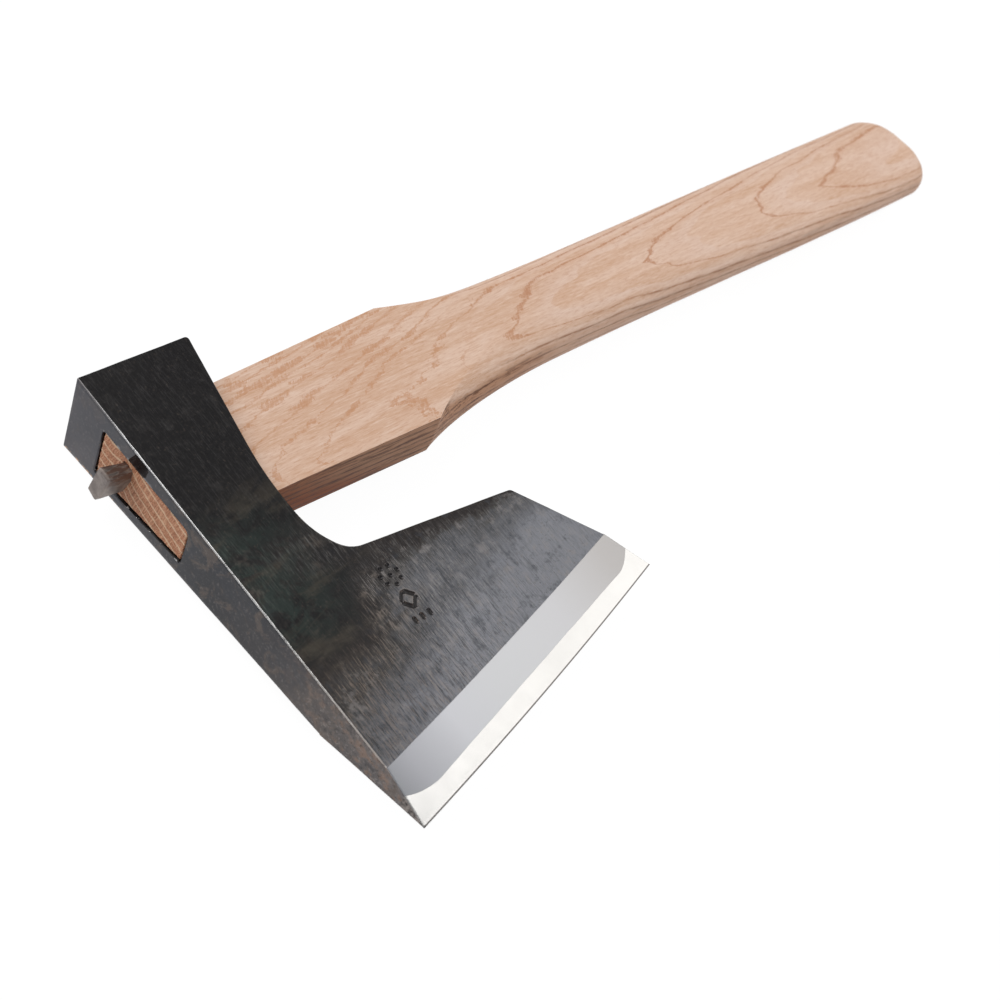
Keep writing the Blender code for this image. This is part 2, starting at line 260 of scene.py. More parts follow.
def ring_quads(first, second):
    """Quads between two closed rings of vertex numbers."""
    return [(first[index], first[following], second[following], second[index])
            for index, following in enumerate([*range(1, len(first)), 0])]


# A cap of one flat face, which needs no middle line
PLAIN_CAP = (None, ())


def skin(rings, start_cap=None, end_cap=None):
    """Points and faces over closed rings. A cap is a middle line and the shares by which the
    end shrinks towards it before it is closed; an end without one stays open."""
    count = len(rings[0])
    points = list(np.concatenate(rings))
    numbers = [range(row * count, (row + 1) * count) for row in range(len(rings))]
    faces = []
    for first, second in zip(numbers, numbers[1:]):
        faces += ring_quads(first, second)
    for cap, ring, outline in ((start_cap, rings[0], numbers[0]), (end_cap, rings[-1], numbers[-1])):
        if cap is None:
            continue
        middle, shares = cap
        for share in shares:
            inner = range(len(points), len(points) + count)
            points.extend(lerp(ring, middle, share))
            faces += ring_quads(outline, inner)
            outline = inner
        faces.append(tuple(outline))
    return points, faces


def cut(obj, cutter):
    """Subtract a closed cutter and remove it."""
    modifier = obj.modifiers.new("cut", "BOOLEAN")
    modifier.operation = "DIFFERENCE"
    modifier.object = cutter
    modifier.solver = "MANIFOLD"
    bpy.context.view_layer.update()
    evaluated = obj.evaluated_get(bpy.context.evaluated_depsgraph_get())
    mesh = bpy.data.meshes.new_from_object(evaluated)
    obj.modifiers.clear()
    old = obj.data
    obj.data = mesh
    mesh.name = old.name
    bpy.data.meshes.remove(old)
    bpy.data.objects.remove(cutter)


def shade(obj, crease):
    """Smooth shading that breaks where faces meet at more than an angle in degrees."""
    obj.data.shade_smooth()
    obj.data.set_sharp_from_angle(angle=math.radians(crease))


def coordinates(obj):
    """Vertex places in millimetres from the eye."""
    flat = np.zeros(len(obj.data.vertices) * 3)
    obj.data.vertices.foreach_get("co", flat)
    return (flat.reshape(-1, 3) - np.array(EYE)) / MM


def push(obj, points, heights):
    """Move vertices from their places along their normals by heights in millimetres."""
    flat = np.zeros(len(points) * 3, np.float32)
    obj.data.vertex_normals.foreach_get("vector", flat)
    moved = points + flat.reshape(-1, 3).astype(float) * heights[:, None]
    obj.data.vertices.foreach_set("co", place(moved).ravel())
    obj.data.update()


# ================================================================ outlines of the head

class Path:
    """A plan curve that can be read at any distance along it."""

    def __init__(self, points, metal_side):
        self.points = np.array(points, float)
        steps = np.linalg.norm(np.diff(self.points, axis=0), axis=1)
        self.along = np.concatenate([[0.0], np.cumsum(steps)])
        self.length = self.along[-1]
        self.metal_side = metal_side

    def at(self, distance):
        """Plan point, held between the two ends."""
        return np.stack([np.interp(distance, self.along, self.points[:, axis]) for axis in (0, 1)], -1)

    def inward(self, distance):
        """Unit plan direction into the metal."""
        reach = 0.15
        low = np.clip(distance - reach, 0.0, self.length - 2.0 * reach)
        run = unit(self.at(low + 2.0 * reach) - self.at(low))
        return np.stack([run[..., 1], -run[..., 0]], -1) * self.metal_side

    def nearest(self, point):
        """Distance along the curve of the place nearest to a plan point."""
        return self.along[np.argmin(np.linalg.norm(self.points - np.asarray(point), axis=1))]


def arc_corner(before, corner, after, radius, steps):
    """Points of a tangent arc that rounds a corner."""
    before, corner, after = (np.array(item, float) for item in (before, corner, after))
    to_before = unit(before - corner)
    to_after = unit(after - corner)
    half = math.acos(np.clip(to_before @ to_after, -1.0, 1.0)) / 2.0
    centre = corner + unit(to_before + to_after) * radius / math.sin(half)
    start = corner + to_before * radius / math.tan(half) - centre
    end = corner + to_after * radius / math.tan(half) - centre
    sweep = math.pi - 2.0 * half
    shares = np.linspace(0.0, 1.0, steps + 1)[:, None]
    points = (np.sin((1.0 - shares) * sweep) * start + np.sin(shares * sweep) * end) / math.sin(sweep)
    return centre + points


def head_paths():
    """Front line and back outline of the head, both from the poll to the cutting edge, and the
    places on the back outline where its hollow and its beard tip start and end."""
    front = Path(np.linspace((0.0, POLL_Y), TOE, 400), -1.0)
    corners = [(POLL_WIDTH, POLL_Y)] + [corner for corner, _ in BACK_EDGE] + [BEARD_TIP, HEEL]
    radii = [radius for _, radius in BACK_EDGE] + [BEARD_TIP_RADIUS]
    stretches = []
    bends = []
    start = np.array(corners[0])
    for radius, before, corner, after in zip(radii, corners, corners[1:], corners[2:]):
        bend = arc_corner(before, corner, after, radius, 50)
        stretches += [np.linspace(start, bend[0], 80, endpoint=False), bend[:-1]]
        bends.append(bend)
        start = bend[-1]
    back = Path(np.concatenate(stretches + [np.linspace(start, HEEL, 120)]), 1.0)
    first, _, hollow, tip = bends
    return front, back, [back.nearest(point) for point in (first[0], hollow[-1], tip[0], tip[-1])]


FRONT, BACK, BACK_KEYS = head_paths()


def edge_bow(share):
    """How far the cutting edge stands out from a straight line."""
    return EDGE_BOW * (1.0 - (2.0 * share - 1.0) ** 2)


def weld_distance(run):
    """Plan distance of the weld line from the straight edge, rising at toe and heel."""
    toe_lift = WELD_TOE_RISE * np.clip(1.0 - run / WELD_TOE_RUN, 0.0, 1.0) ** 2
    heel_lift = WELD_HEEL_RISE * np.clip(1.0 - (EDGE_LENGTH - run) / WELD_HEEL_RUN, 0.0, 1.0) ** 2
    wave = WELD_WAVE * (np.sin(run * 0.31) + 0.6 * np.sin(run * 0.83 + 1.0)) / 1.6
    return WELD_SETBACK + toe_lift + heel_lift + wave


class Side:
    """One side of the blade: a cheek plane and a ground bevel plane that meet at the shoulder."""

    def __init__(self, sign, slope_y, slope_x, bevel, row_keys, first_slide):
        self.sign = sign
        self.slope_y = slope_y
        self.slope_x = slope_x
        self.bevel = bevel
        self.row_keys = row_keys
        self.first_slide = first_slide
        beard_tip = np.array(BEARD_TIP)
        front = self.meeting(np.array((0.0, POLL_Y)), TOE, 0.0)
        back = self.meeting(beard_tip, HEEL, BACK_SHOULDER_SHIFT / np.linalg.norm(HEEL - beard_tip))
        self.front = np.append(front, self.cheek_height(front))
        self.back = np.append(back, self.cheek_height(back))
        self.front_run = FRONT.nearest(front)
        self.back_run = BACK.nearest(back)

    def cheek_height(self, plan):
        """Height of the cheek plane."""
        return (self.sign * POLL_HALF + self.slope_y * (plan[..., 1] - POLL_Y)
                + self.slope_x * plan[..., 0])

    def meeting(self, start, end, shift):
        """Where a plan line crosses the shoulder, moved back by a share of the line."""
        gaps = [self.cheek_height(plan) - self.bevel * ((plan - TOE) @ INWARD) for plan in (start, end)]
        return lerp(start, end, gaps[0] / (gaps[0] - gaps[1]) - shift)

    def sagged(self, points, share, weight):
        """Move points of the cheek towards the edge, most in the middle of the blade."""
        plan = points[..., :2] - INWARD * SHOULDER_SAG * weight * 4.0 * share * (1.0 - share)
        return np.concatenate([plan, self.cheek_height(plan)[..., None]], -1)

    def bevel_point(self, share, slide):
        """Point on the bevel: share runs from toe to heel, slide from the shoulder to the edge."""
        share = np.asarray(share, float)[..., None]
        shoulder = self.sagged(lerp(self.front, self.back, share), share, 1.0)
        edge = lerp(np.append(TOE, 0.0), np.append(HEEL, 0.0), share)
        edge = edge - np.append(INWARD, 0.0) * edge_bow(share)
        return lerp(shoulder, edge, np.asarray(slide, float)[..., None])

    def weld_slide(self, share, gap):
        """The slide at which the weld line crosses the bevel, found by rounds of correction."""
        share = np.asarray(share, float)
        depth = (self.bevel_point(share, np.zeros(share.shape))[..., :2] - TOE) @ INWARD
        slide = np.full(share.shape, FIRST_WELD_GUESS)
        for _ in range(WELD_ROUNDS):
            run = (self.bevel_point(share, slide)[..., :2] - TOE) @ ALONG
            slide = (depth - weld_distance(run) - gap) / (depth + edge_bow(share))
        return slide


UPPER = Side(1.0, 0.070, -0.018, 0.2955, (34.0, 74.5, 98.5, 100.1), 0.06)
LOWER = Side(-1.0, -0.0427, 0.018, -0.256, (33.0, 68.5, 90.0, 90.9), 0.03)


# ================================================================ head

def corner_inset(depth, radius):
    """How far a face is drawn in at a depth behind the poll face to round its corner."""
    left = np.clip(radius - depth, 0.0, radius)
    return radius - np.sqrt(radius * radius - left * left)


def arc(edge, inner, drop, sign):
    """Rounded arris from the wall up to the flat, both ends included."""
    turn = np.linspace(0.0, math.pi / 2.0, ARC_STEPS + 1)[:, None]
    points = lerp(edge, inner, 1.0 - np.cos(turn))
    points[:, 2] -= (sign * drop * (1.0 - np.sin(turn)))[:, 0]
    return points


def flat_row(side, front_run, back_run, arris):
    """One row over a cheek: arris, flat, arris, from the front line to the back outline."""
    front_in = FRONT.inward(front_run)
    back_in = BACK.inward(back_run)
    start = FRONT.at(front_run) + front_in * corner_inset(front_run, POLL_ROUND_FRONT)
    end = BACK.at(back_run) + back_in * corner_inset(back_run, POLL_ROUND_BACK)
    inner_start = start + front_in * arris
    inner_end = end + back_in * ARRIS
    lift = -side.sign * corner_inset(front_run, POLL_ROUND_FLAT)

    def raised(plan):
        return np.append(plan, side.cheek_height(plan) + lift)

    first = arc(raised(start), raised(inner_start), arris, side.sign)
    last = arc(raised(end), raised(inner_end), ARRIS, side.sign)[::-1]
    shares = np.linspace(0.0, 1.0, COLUMNS + 1)[1:-1, None]
    weight = smooth(1.0 - (side.front_run - front_run) / SAG_REACH)
    middle = side.sagged(lerp(inner_start, inner_end, shares), shares, weight)
    middle[:, 2] += lift
    return np.concatenate([first, middle, last])


def bevel_row(side, slides, radius):
    """One row over a bevel, slides giving its place as a function of the share."""
    inner = radius / EDGE_LENGTH
    ends = np.array([0.0, inner, 1.0 - inner, 1.0])
    corner = side.bevel_point(ends, slides(ends))
    shares = np.linspace(inner, 1.0 - inner, COLUMNS + 1)[1:-1]
    first = arc(corner[0], corner[1], radius, side.sign)
    last = arc(corner[3], corner[2], radius, side.sign)[::-1]
    return np.concatenate([first, side.bevel_point(shares, slides(shares)), last])


def wall(path, corner_radius, runs, heights):
    """Points up one side wall, leaving out both arrises."""
    shares = np.linspace(0.0, 1.0, WALL_STEPS + 1)[1:-1]
    places = lerp(runs[0], runs[1], shares)
    plan = path.at(places) + path.inward(places) * corner_inset(places, corner_radius)[:, None]
    return np.column_stack([plan, lerp(heights[0], heights[1], shares)])


def spread(keys, spacing_keys):
    """Poll rows, then rows between key places; the second list sets how many each stretch gets."""
    rows = list(POLL_DEPTHS)
    for start, end, from_key, to_key in zip(keys, keys[1:], spacing_keys, spacing_keys[1:]):
        count = max(2, round(abs(to_key - from_key) / ROW_SPACING))
        rows.extend(np.linspace(start, end, count, endpoint=False))
    return rows


def cheek_runs(side):
    """Front and back places of the rows from the poll face to the shoulder."""
    back_keys = [POLL_ROUND_BACK, *BACK_KEYS, side.back_run]
    front_keys = [POLL_ROUND_BACK, *side.row_keys, side.front_run]
    return spread(front_keys, back_keys), spread(back_keys, back_keys)


def side_rows(side, arrises):
    """Rows over one side from the poll to the weld line, each with the places of its two ends.
    There are as many rows as arris sizes; the bevel gets those that the cheek leaves over."""
    rows = []
    for front_run, back_run, arris in zip(*cheek_runs(side), arrises):
        rows.append((flat_row(side, front_run, back_run, arris), front_run, back_run))
    count = len(arrises) - len(rows) - len(SHOULDER_SLIDES)
    toe_slide, heel_slide = side.weld_slide(np.array([0.0, 1.0]), 0.0)
    for slide in (*SHOULDER_SLIDES, *np.linspace(side.first_slide, 1.0, count)):
        row = bevel_row(side, lambda share: slide * side.weld_slide(share, 0.0), BEVEL_ARRIS)
        rows.append((row, lerp(side.front_run, FRONT.length, slide * toe_slide),
                     lerp(side.back_run, BACK.length, slide * heel_slide)))
    return rows


def weld_wall_faces(start):
    """Close the end of a head or edge ring with quads between its two flat rows."""
    row = COLUMNS + 2 * ARC_STEPS + 1
    side_wall = WALL_STEPS - 1
    ends = start + np.cumsum([0, side_wall, row, side_wall, row])
    front_wall, upper, back_wall, lower = (list(range(*pair)) for pair in zip(ends, ends[1:]))
    lower.reverse()
    flat = slice(ARC_STEPS, row - ARC_STEPS)
    faces = [(first, second, fourth, third) for first, second, third, fourth
             in zip(upper[flat], upper[flat][1:], lower[flat], lower[flat][1:])]
    faces.append(tuple(lower[ARC_STEPS::-1] + front_wall + upper[:ARC_STEPS + 1]))
    faces.append(tuple(upper[-1 - ARC_STEPS:] + back_wall + lower[:-2 - ARC_STEPS:-1]))
    return faces


def build_head_body():
    """Forged body: poll, cheeks, beard and ground bevels back to the weld line."""
    row_count = len(cheek_runs(UPPER)[0]) + len(SHOULDER_SLIDES) + BEVEL_ROWS
    worn = 0.30 * line_wobble(row_count, 0.11, 3.0) + 0.25 * line_wobble(row_count, 0.37, 8.0)
    upper_rows = side_rows(UPPER, ARRIS * (1.0 + worn))
    lower_rows = side_rows(LOWER, np.full(row_count, ARRIS))
    rings = []
    for (upper, upper_front, upper_back), (lower, lower_front, lower_back) in zip(upper_rows, lower_rows):
        lower = lower[::-1]
        front_heights = (lower[-1][2], upper[0][2])
        back_heights = (upper[-1][2], lower[0][2])
        front_wall = wall(FRONT, POLL_ROUND_FRONT, (lower_front, upper_front), front_heights)
        back_wall = wall(BACK, POLL_ROUND_BACK, (upper_back, lower_back), back_heights)
        rings.append(np.concatenate([front_wall, upper, back_wall, lower]))
    middle = rings[0].copy()
    middle[:, 0] = np.clip(middle[:, 0], POLL_CAP_REACH, POLL_WIDTH - POLL_CAP_REACH)
    middle[:, 2] = 0.0
    points, faces = skin(rings, (middle, np.linspace(0.06, 0.98, 14)))
    faces += weld_wall_faces((len(rings) - 1) * len(rings[0]))
    head = mesh_object("head_body", points, faces)
    cut(head, eye_cutter())
    refine_mark(head)
    roughen_head(head)
    shade(head, 40.0)
    return head


def roughen_head(head):
    """Uneven forged skin that dies out on the ground bevels, and the punched mark."""
    points = coordinates(head)
    inward = (points[:, :2] - TOE) @ INWARD
    waves = 0.075 * wobble(points, 0.085, 1.0) + 0.022 * fine_wobble(points, 0.45, 4.0)
    waves *= smooth((inward - 15.0) / 3.0)
    marked = in_mark(points)
    waves[marked] += mark_depth(points[marked])
    push(head, points, waves)


# ---------------------------------------------------------------- eye

def limits(along):
    """Top and bottom heights of the handle on its axis, and how they tilt across it."""
    part = min(max(along / EYE_DEPTH, 0.0), 1.0)
    top = lerp(TENON_TOP, BLOCK_TOP, part)
    bottom = lerp(TENON_BOTTOM, BLOCK_BOTTOM, part)
    middle = (BLOCK_TOP + BLOCK_BOTTOM) / 2.0
    swell = smooth((along - FAR["shoulder"]) / (SWELL_IN_X - FAR["shoulder"]))
    top += (middle + GRIP_HALF_THICKNESS - BLOCK_TOP) * swell
    bottom += (middle - GRIP_HALF_THICKNESS - BLOCK_BOTTOM) * swell
    return top, bottom, TENON_TOP_SLOPE * (1.0 - part), TENON_BOTTOM_SLOPE * (1.0 - part)


def eye_section(along, grow):
    """Rounded four-sided opening at one depth, as (y, z)."""
    far = tenon_width(FAR, along)
    near = -tenon_width(NEAR, along)
    top, bottom, top_tilt, bottom_tilt = limits(along)
    far_edge = far + CLEAR_FAR + grow
    near_edge = near - CLEAR_NEAR - grow
    below = CLEAR_BOTTOM + grow
    corners = [(far_edge, top + top_tilt * far + CLEAR_TOP + grow),
               (near_edge, top + top_tilt * near + CLEAR_TOP + grow),
               (near_edge, bottom + bottom_tilt * near - below * CLEAR_BOTTOM_NEAR),
               (far_edge, bottom + bottom_tilt * far - below * CLEAR_BOTTOM_FAR)]
    arcs = []
    for index, radius in enumerate(EYE_CORNER_RADII):
        arcs.append(arc_corner(corners[index - 1], corners[index], corners[(index + 1) % 4], radius, 8))
    outline = []
    for bend, following in zip(arcs, arcs[1:] + arcs[:1]):
        outline += [bend, np.linspace(bend[-1], following[0], 14)[1:-1]]
    return np.concatenate(outline)


def eye_cutter():
    """Tapered plug the shape of the eye, flared a little where it breaks out."""
    stations = [(-3.0, 0.35), (0.0, 0.35), (0.12, 0.18), (0.4, 0.0)]
    stations += [(along, 0.0) for along in np.arange(2.0, EYE_DEPTH + 8.0, 2.0)]
    rings = []
    for along, grow in stations:
        section = eye_section(max(along, 0.0), grow)
        ring = np.column_stack([np.full(len(section), along), section])
        ring[:, 1:] += 0.10 * wobble(ring, 0.45, 2.0)[:, None] * np.sign(section)
        rings.append(ring)
    return mesh_object("eye_cutter", *skin(rings, PLAIN_CAP, PLAIN_CAP))


# ---------------------------------------------------------------- punched mark

def mark_strokes():
    """Plain ornament: a ring of dots round one dot, a lozenge and three dashes, as capsules."""
    ring_centre = MARK_CENTRE + DOT_RING_PLACE
    strokes = []
    for turn in 2.0 * math.pi * np.arange(DOTS) / DOTS + 0.2:
        spot = ring_centre + DOT_RING_RADIUS * np.array((math.cos(turn), math.sin(turn)))
        strokes.append((spot, spot))
    strokes.append((ring_centre, ring_centre))
    lozenge = MARK_CENTRE + LOZENGE
    for corner, following in zip(lozenge, np.roll(lozenge, -1, axis=0)):
        strokes.append((lerp(corner, following, LOZENGE_GAP), lerp(corner, following, 1.0 - LOZENGE_GAP)))
    for across in DASHES:
        spot = MARK_CENTRE + (across, DASH_PLACE)
        strokes.append((spot, spot - (0.0, DASH_LENGTH)))
    return strokes


def in_mark(points):
    """Which points lie in the rectangle that holds the mark."""
    return (np.abs(points[:, :2] - MARK_CENTRE) < MARK_HALF).all(axis=1) & (points[:, 2] > 0.0)


def refine_mark(head):
    """Cut the faces under the mark finer so that its strokes have real depth."""
    inside = in_mark(coordinates(head))
    shape = bmesh.new()
    shape.from_mesh(head.data)
    edges = [edge for edge in shape.edges if all(inside[vert.index] for vert in edge.verts)]
    bmesh.ops.subdivide_edges(shape, edges=edges, cuts=4, use_grid_fill=True)
    shape.to_mesh(head.data)
    shape.free()


def mark_depth(points):
    """Signed height of the punched strokes, with a small raised lip round each."""
    height = np.zeros(len(points))
    for start, end in mark_strokes():
        run = end - start
        length = max(run @ run, 1e-9)
        share = np.clip(((points[:, :2] - start) @ run) / length, 0.0, 1.0)
        away = np.linalg.norm(points[:, :2] - start - share[:, None] * run, axis=1)
        height -= MARK_DEPTH * smooth(1.35 - away / PUNCH_RADIUS)
        height += MARK_LIP * np.exp(-((away - PUNCH_RADIUS * 1.45) / 0.22) ** 2)
    return np.maximum(height, -MARK_DEPTH * 1.1)


# ================================================================ edge steel

def edge_row(side, slide):
    """One row over a side of the edge steel, at a share of the way from weld to edge."""
    radius = min(BEVEL_ARRIS, 0.02 + 0.1 * (1.0 - slide))
    row = bevel_row(side, lambda share: lerp(side.weld_slide(share, -WELD_GAP), 1.0, slide), radius)
    row[:, 2] += side.sign * BLUNT * smooth(slide * 30.0 - 28.0)
    return row


def build_edge_band():
    """Bright hard steel from the weld line to the bowed cutting edge."""
    up_wall = np.linspace(0.0, 1.0, WALL_STEPS + 1)[1:-1, None]
    rings = []
    for slide in (0.0, 0.01, 0.03, *np.linspace(0.08, 0.93, 10), 0.955, 0.97, 0.985, 1.0):
        upper = edge_row(UPPER, slide)
        lower = edge_row(LOWER, slide)[::-1]
        front_wall = lerp(lower[-1], upper[0], up_wall)
        back_wall = lerp(upper[-1], lower[0], up_wall)
        rings.append(np.concatenate([front_wall, upper, back_wall, lower]))
    points, faces = skin(rings)
    faces += weld_wall_faces(0) + weld_wall_faces((len(rings) - 1) * len(rings[0]))
    band = mesh_object("edge_band", points, faces)
    shade(band, 40.0)
    return band


# ================================================================ handle

def tenon_width(side, along):
    """Distance from the axis to one side of the tenon and block."""
    return side["tenon"] + side["taper"] * along


def side_width(side, along):
    """Distance from the axis to one side: straight block, hollow, waist, then swell."""
    if along <= side["shoulder"]:
        return tenon_width(side, along)
    past_waist = along - side["waist_x"]
    if past_waist < 0.0:
        corner = tenon_width(side, side["shoulder"])
        hollow = (past_waist / (side["waist_x"] - side["shoulder"])) ** 2
        return lerp(side["waist"], corner, hollow)
    return lerp(side["waist"], side["butt"], smooth(past_waist / (SWELL_END_X - side["waist_x"])))


def flat_share(side, along, pace):
    """Share of the half width that stays flat, from the whole block to a narrow crown."""
    if along <= side["shoulder"]:
        return BLOCK_FLAT
    part = min((along - side["shoulder"]) / (side["fade"] - side["shoulder"]), 1.0)
    return GRIP_FLAT + (BLOCK_FLAT - GRIP_FLAT) * (1.0 - part) ** pace


def quarter(width, height, share):
    """Points from the middle of a side up its flank and in over the flat, as (across, up)."""
    rim = height / (1.0 - share ** GRIP_POWER) ** (1.0 / GRIP_POWER)
    rise = height * np.sin(np.linspace(0.0, math.pi / 2.0, FLANK_STEPS + 1))
    flank = width * (1.0 - (rise / rim) ** GRIP_POWER) ** (1.0 / GRIP_POWER)
    over = width * share * (1.0 - np.arange(1, FLAT_STEPS) / FLAT_STEPS)
    return np.column_stack([np.append(flank, over), np.append(rise, np.full(FLAT_STEPS - 1, height))])


def handle_ring(along, inset_width=0.0, inset_height=0.0):
    """One closed cross-section of the handle."""
    near = side_width(NEAR, along) - inset_width
    far = side_width(FAR, along) - inset_width
    top, bottom, top_tilt, bottom_tilt = limits(along)
    middle = (top + bottom) / 2.0
    height = (top - bottom) / 2.0 - inset_height
    far_side = quarter(far, height, flat_share(FAR, along, SLOW_FADE))
    near_top = quarter(near, height, flat_share(NEAR, along, QUICK_FADE))
    near_under = quarter(near, height, flat_share(NEAR, along, SLOW_FADE))
    flat = np.concatenate([far_side, [(0.0, height)], near_top[::-1] * (-1.0, 1.0),
                           near_under[1:] * (-1.0, -1.0), [(0.0, -height)],
                           far_side[1:][::-1] * (1.0, -1.0)])
    tilt = np.where(flat[:, 1] > 0.0, top_tilt, bottom_tilt)
    lift = middle + flat[:, 1] + tilt * flat[:, 0] * np.abs(flat[:, 1]) / height
    return np.column_stack([np.full(len(flat), along), flat[:, 0], lift])


def handle_stations():
    """Cross-sections with their insets, close together at the end grain, shoulders and butt."""
    stations = [(TENON_RECESS, 0.22, 0.20), (TENON_RECESS + 0.08, 0.10, 0.09), (TENON_RECESS + 0.25,)]
    corner_start = HANDLE_LENGTH - BUTT_CORNER_RADIUS
    places = [1.0, 1.6, 2.4, 3.4, 5.0, *np.arange(8.0, 78.1, 2.0)]
    places += [79.0, 79.6, 79.9, 80.0, 80.1, 80.4, *np.arange(81.0, 89.1, 0.8)]
    places += [89.3, 89.4, 89.5, 89.9, *np.arange(90.5, 156.0, 1.0), *np.arange(158.0, corner_start, 2.5)]
    stations += [(along,) for along in places]
    for turn in np.linspace(0.0, math.pi / 2.0, BUTT_STEPS + 1):
        run = BUTT_CORNER_RADIUS * math.sin(turn)
        width_inset = BUTT_CORNER_RADIUS * (1.0 - math.cos(turn))
        past = max(0.0, run - BUTT_CORNER_RADIUS + BUTT_EDGE_RADIUS)
        height_inset = BUTT_EDGE_RADIUS - math.sqrt(max(0.0, BUTT_EDGE_RADIUS ** 2 - past ** 2))
        stations.append((corner_start + run, width_inset, height_inset))
    return stations


def oblong_cap(ring, half_height, shares):
    """Cap of an oblong end: the middle line that it shrinks to, and the shares."""
    middle = ring.copy()
    reach = np.abs(ring[:, 1]).max() - half_height
    middle[:, 1] = np.clip(ring[:, 1], -reach, reach)
    middle[:, 2] = (ring[:, 2].max() + ring[:, 2].min()) / 2.0
    return middle, shares


def build_oak_handle():
    """One-piece oak handle: tenon, flat block, hollowed shoulders and oval grip."""
    rings = [handle_ring(*station) for station in handle_stations()]
    tenon_cap = oblong_cap(rings[0], 6.0, np.linspace(0.05, 0.97, 16))
    butt_cap = oblong_cap(rings[-1], 3.0, np.linspace(0.1, 0.95, 8))
    handle = mesh_object("oak_handle", *skin(rings, tenon_cap, butt_cap))
    cut(handle, wedge_mesh("kerf_cutter", KERF_GROWTH, KERF_SHIFT))
    weather_handle(handle)
    shade(handle, 35.0)
    return handle


def weather_handle(handle):
    """Ragged saw-cut end grain, a slightly uneven block and hand-finished grip."""
    points = coordinates(handle)
    end = smooth((2.2 - points[:, 0]) / 1.8)
    uneven = 0.06 * wobble(points * (0.25, 1.0, 1.0), 0.16, 6.0)
    torn = 0.16 * fine_wobble(points * (0.3, 1.0, 1.0), 1.15, 11.0)
    push(handle, points, lerp(uneven, torn, end))


# ================================================================ wedge

def wedge_section(corners):
    """Straight sides between corners whose points are cut back slightly."""
    corners = np.array(corners, float)
    shares = np.linspace(WEDGE_CORNER, 1.0 - WEDGE_CORNER, WEDGE_SIDE_STEPS)[:, None]
    return np.concatenate([lerp(corner, following, shares)
                           for corner, following in zip(corners, np.roll(corners, -1, axis=0))])


def wedge_ring(along, grow):
    """Section of the wedge at one depth, grown outwards where a kerf is wanted."""
    section = wedge_section(WEDGE_ENTRY)
    if along <= 0.0:
        from_end = along + WEDGE_PROUD
        section = lerp(wedge_section(WEDGE_OUTER), section, from_end / WEDGE_PROUD)
        pull = max(0.0, WEDGE_EDGE - from_end) / WEDGE_EDGE
        section = lerp(section, section.mean(0), 0.10 * pull ** 2)
    else:
        centre = section.mean(0)
        thinned = lerp(np.ones(2), np.array(WEDGE_TIP_SHARE), along / WEDGE_DEPTH)
        section = centre + (section - centre) * thinned
    section = section + unit(section - section.mean(0)) * grow
    return np.column_stack([np.full(len(section), along), section])


def wedge_mesh(name, grow, shift):
    """Closed wedge or kerf shape."""
    stations = [-WEDGE_PROUD + depth for depth in (0.0, 0.12, 0.35, 0.7)]
    stations += [*np.linspace(-WEDGE_PROUD + 1.2, 0.0, 14), *np.linspace(2.0, WEDGE_DEPTH, 9)]
    rings = [wedge_ring(along, grow) + shift for along in stations]
    middle = np.broadcast_to(rings[0].mean(0), rings[0].shape)
    return mesh_object(name, *skin(rings, (middle, np.linspace(0.12, 0.93, 9)), PLAIN_CAP))


def build_iron_wedge():
    """Hammered iron wedge standing proud of the front face."""
    wedge = wedge_mesh("iron_wedge", 0.0, (0.0, 0.0, 0.0))
    points = coordinates(wedge)
    push(wedge, points, 0.05 * wobble(points, 0.30, 7.0) * smooth(-points[:, 0] / 1.5))
    shade(wedge, 13.0)
    return wedge


# ================================================================ material helpers

def srgb(red, green, blue):
    """Screen colour from 0 to 255 as linear values."""
    values = []
    for level in (red, green, blue):
        level /= 255.0
        values.append(level / 12.92 if level <= 0.04045 else ((level + 0.055) / 1.055) ** 2.4)
    return (*values, 1.0)


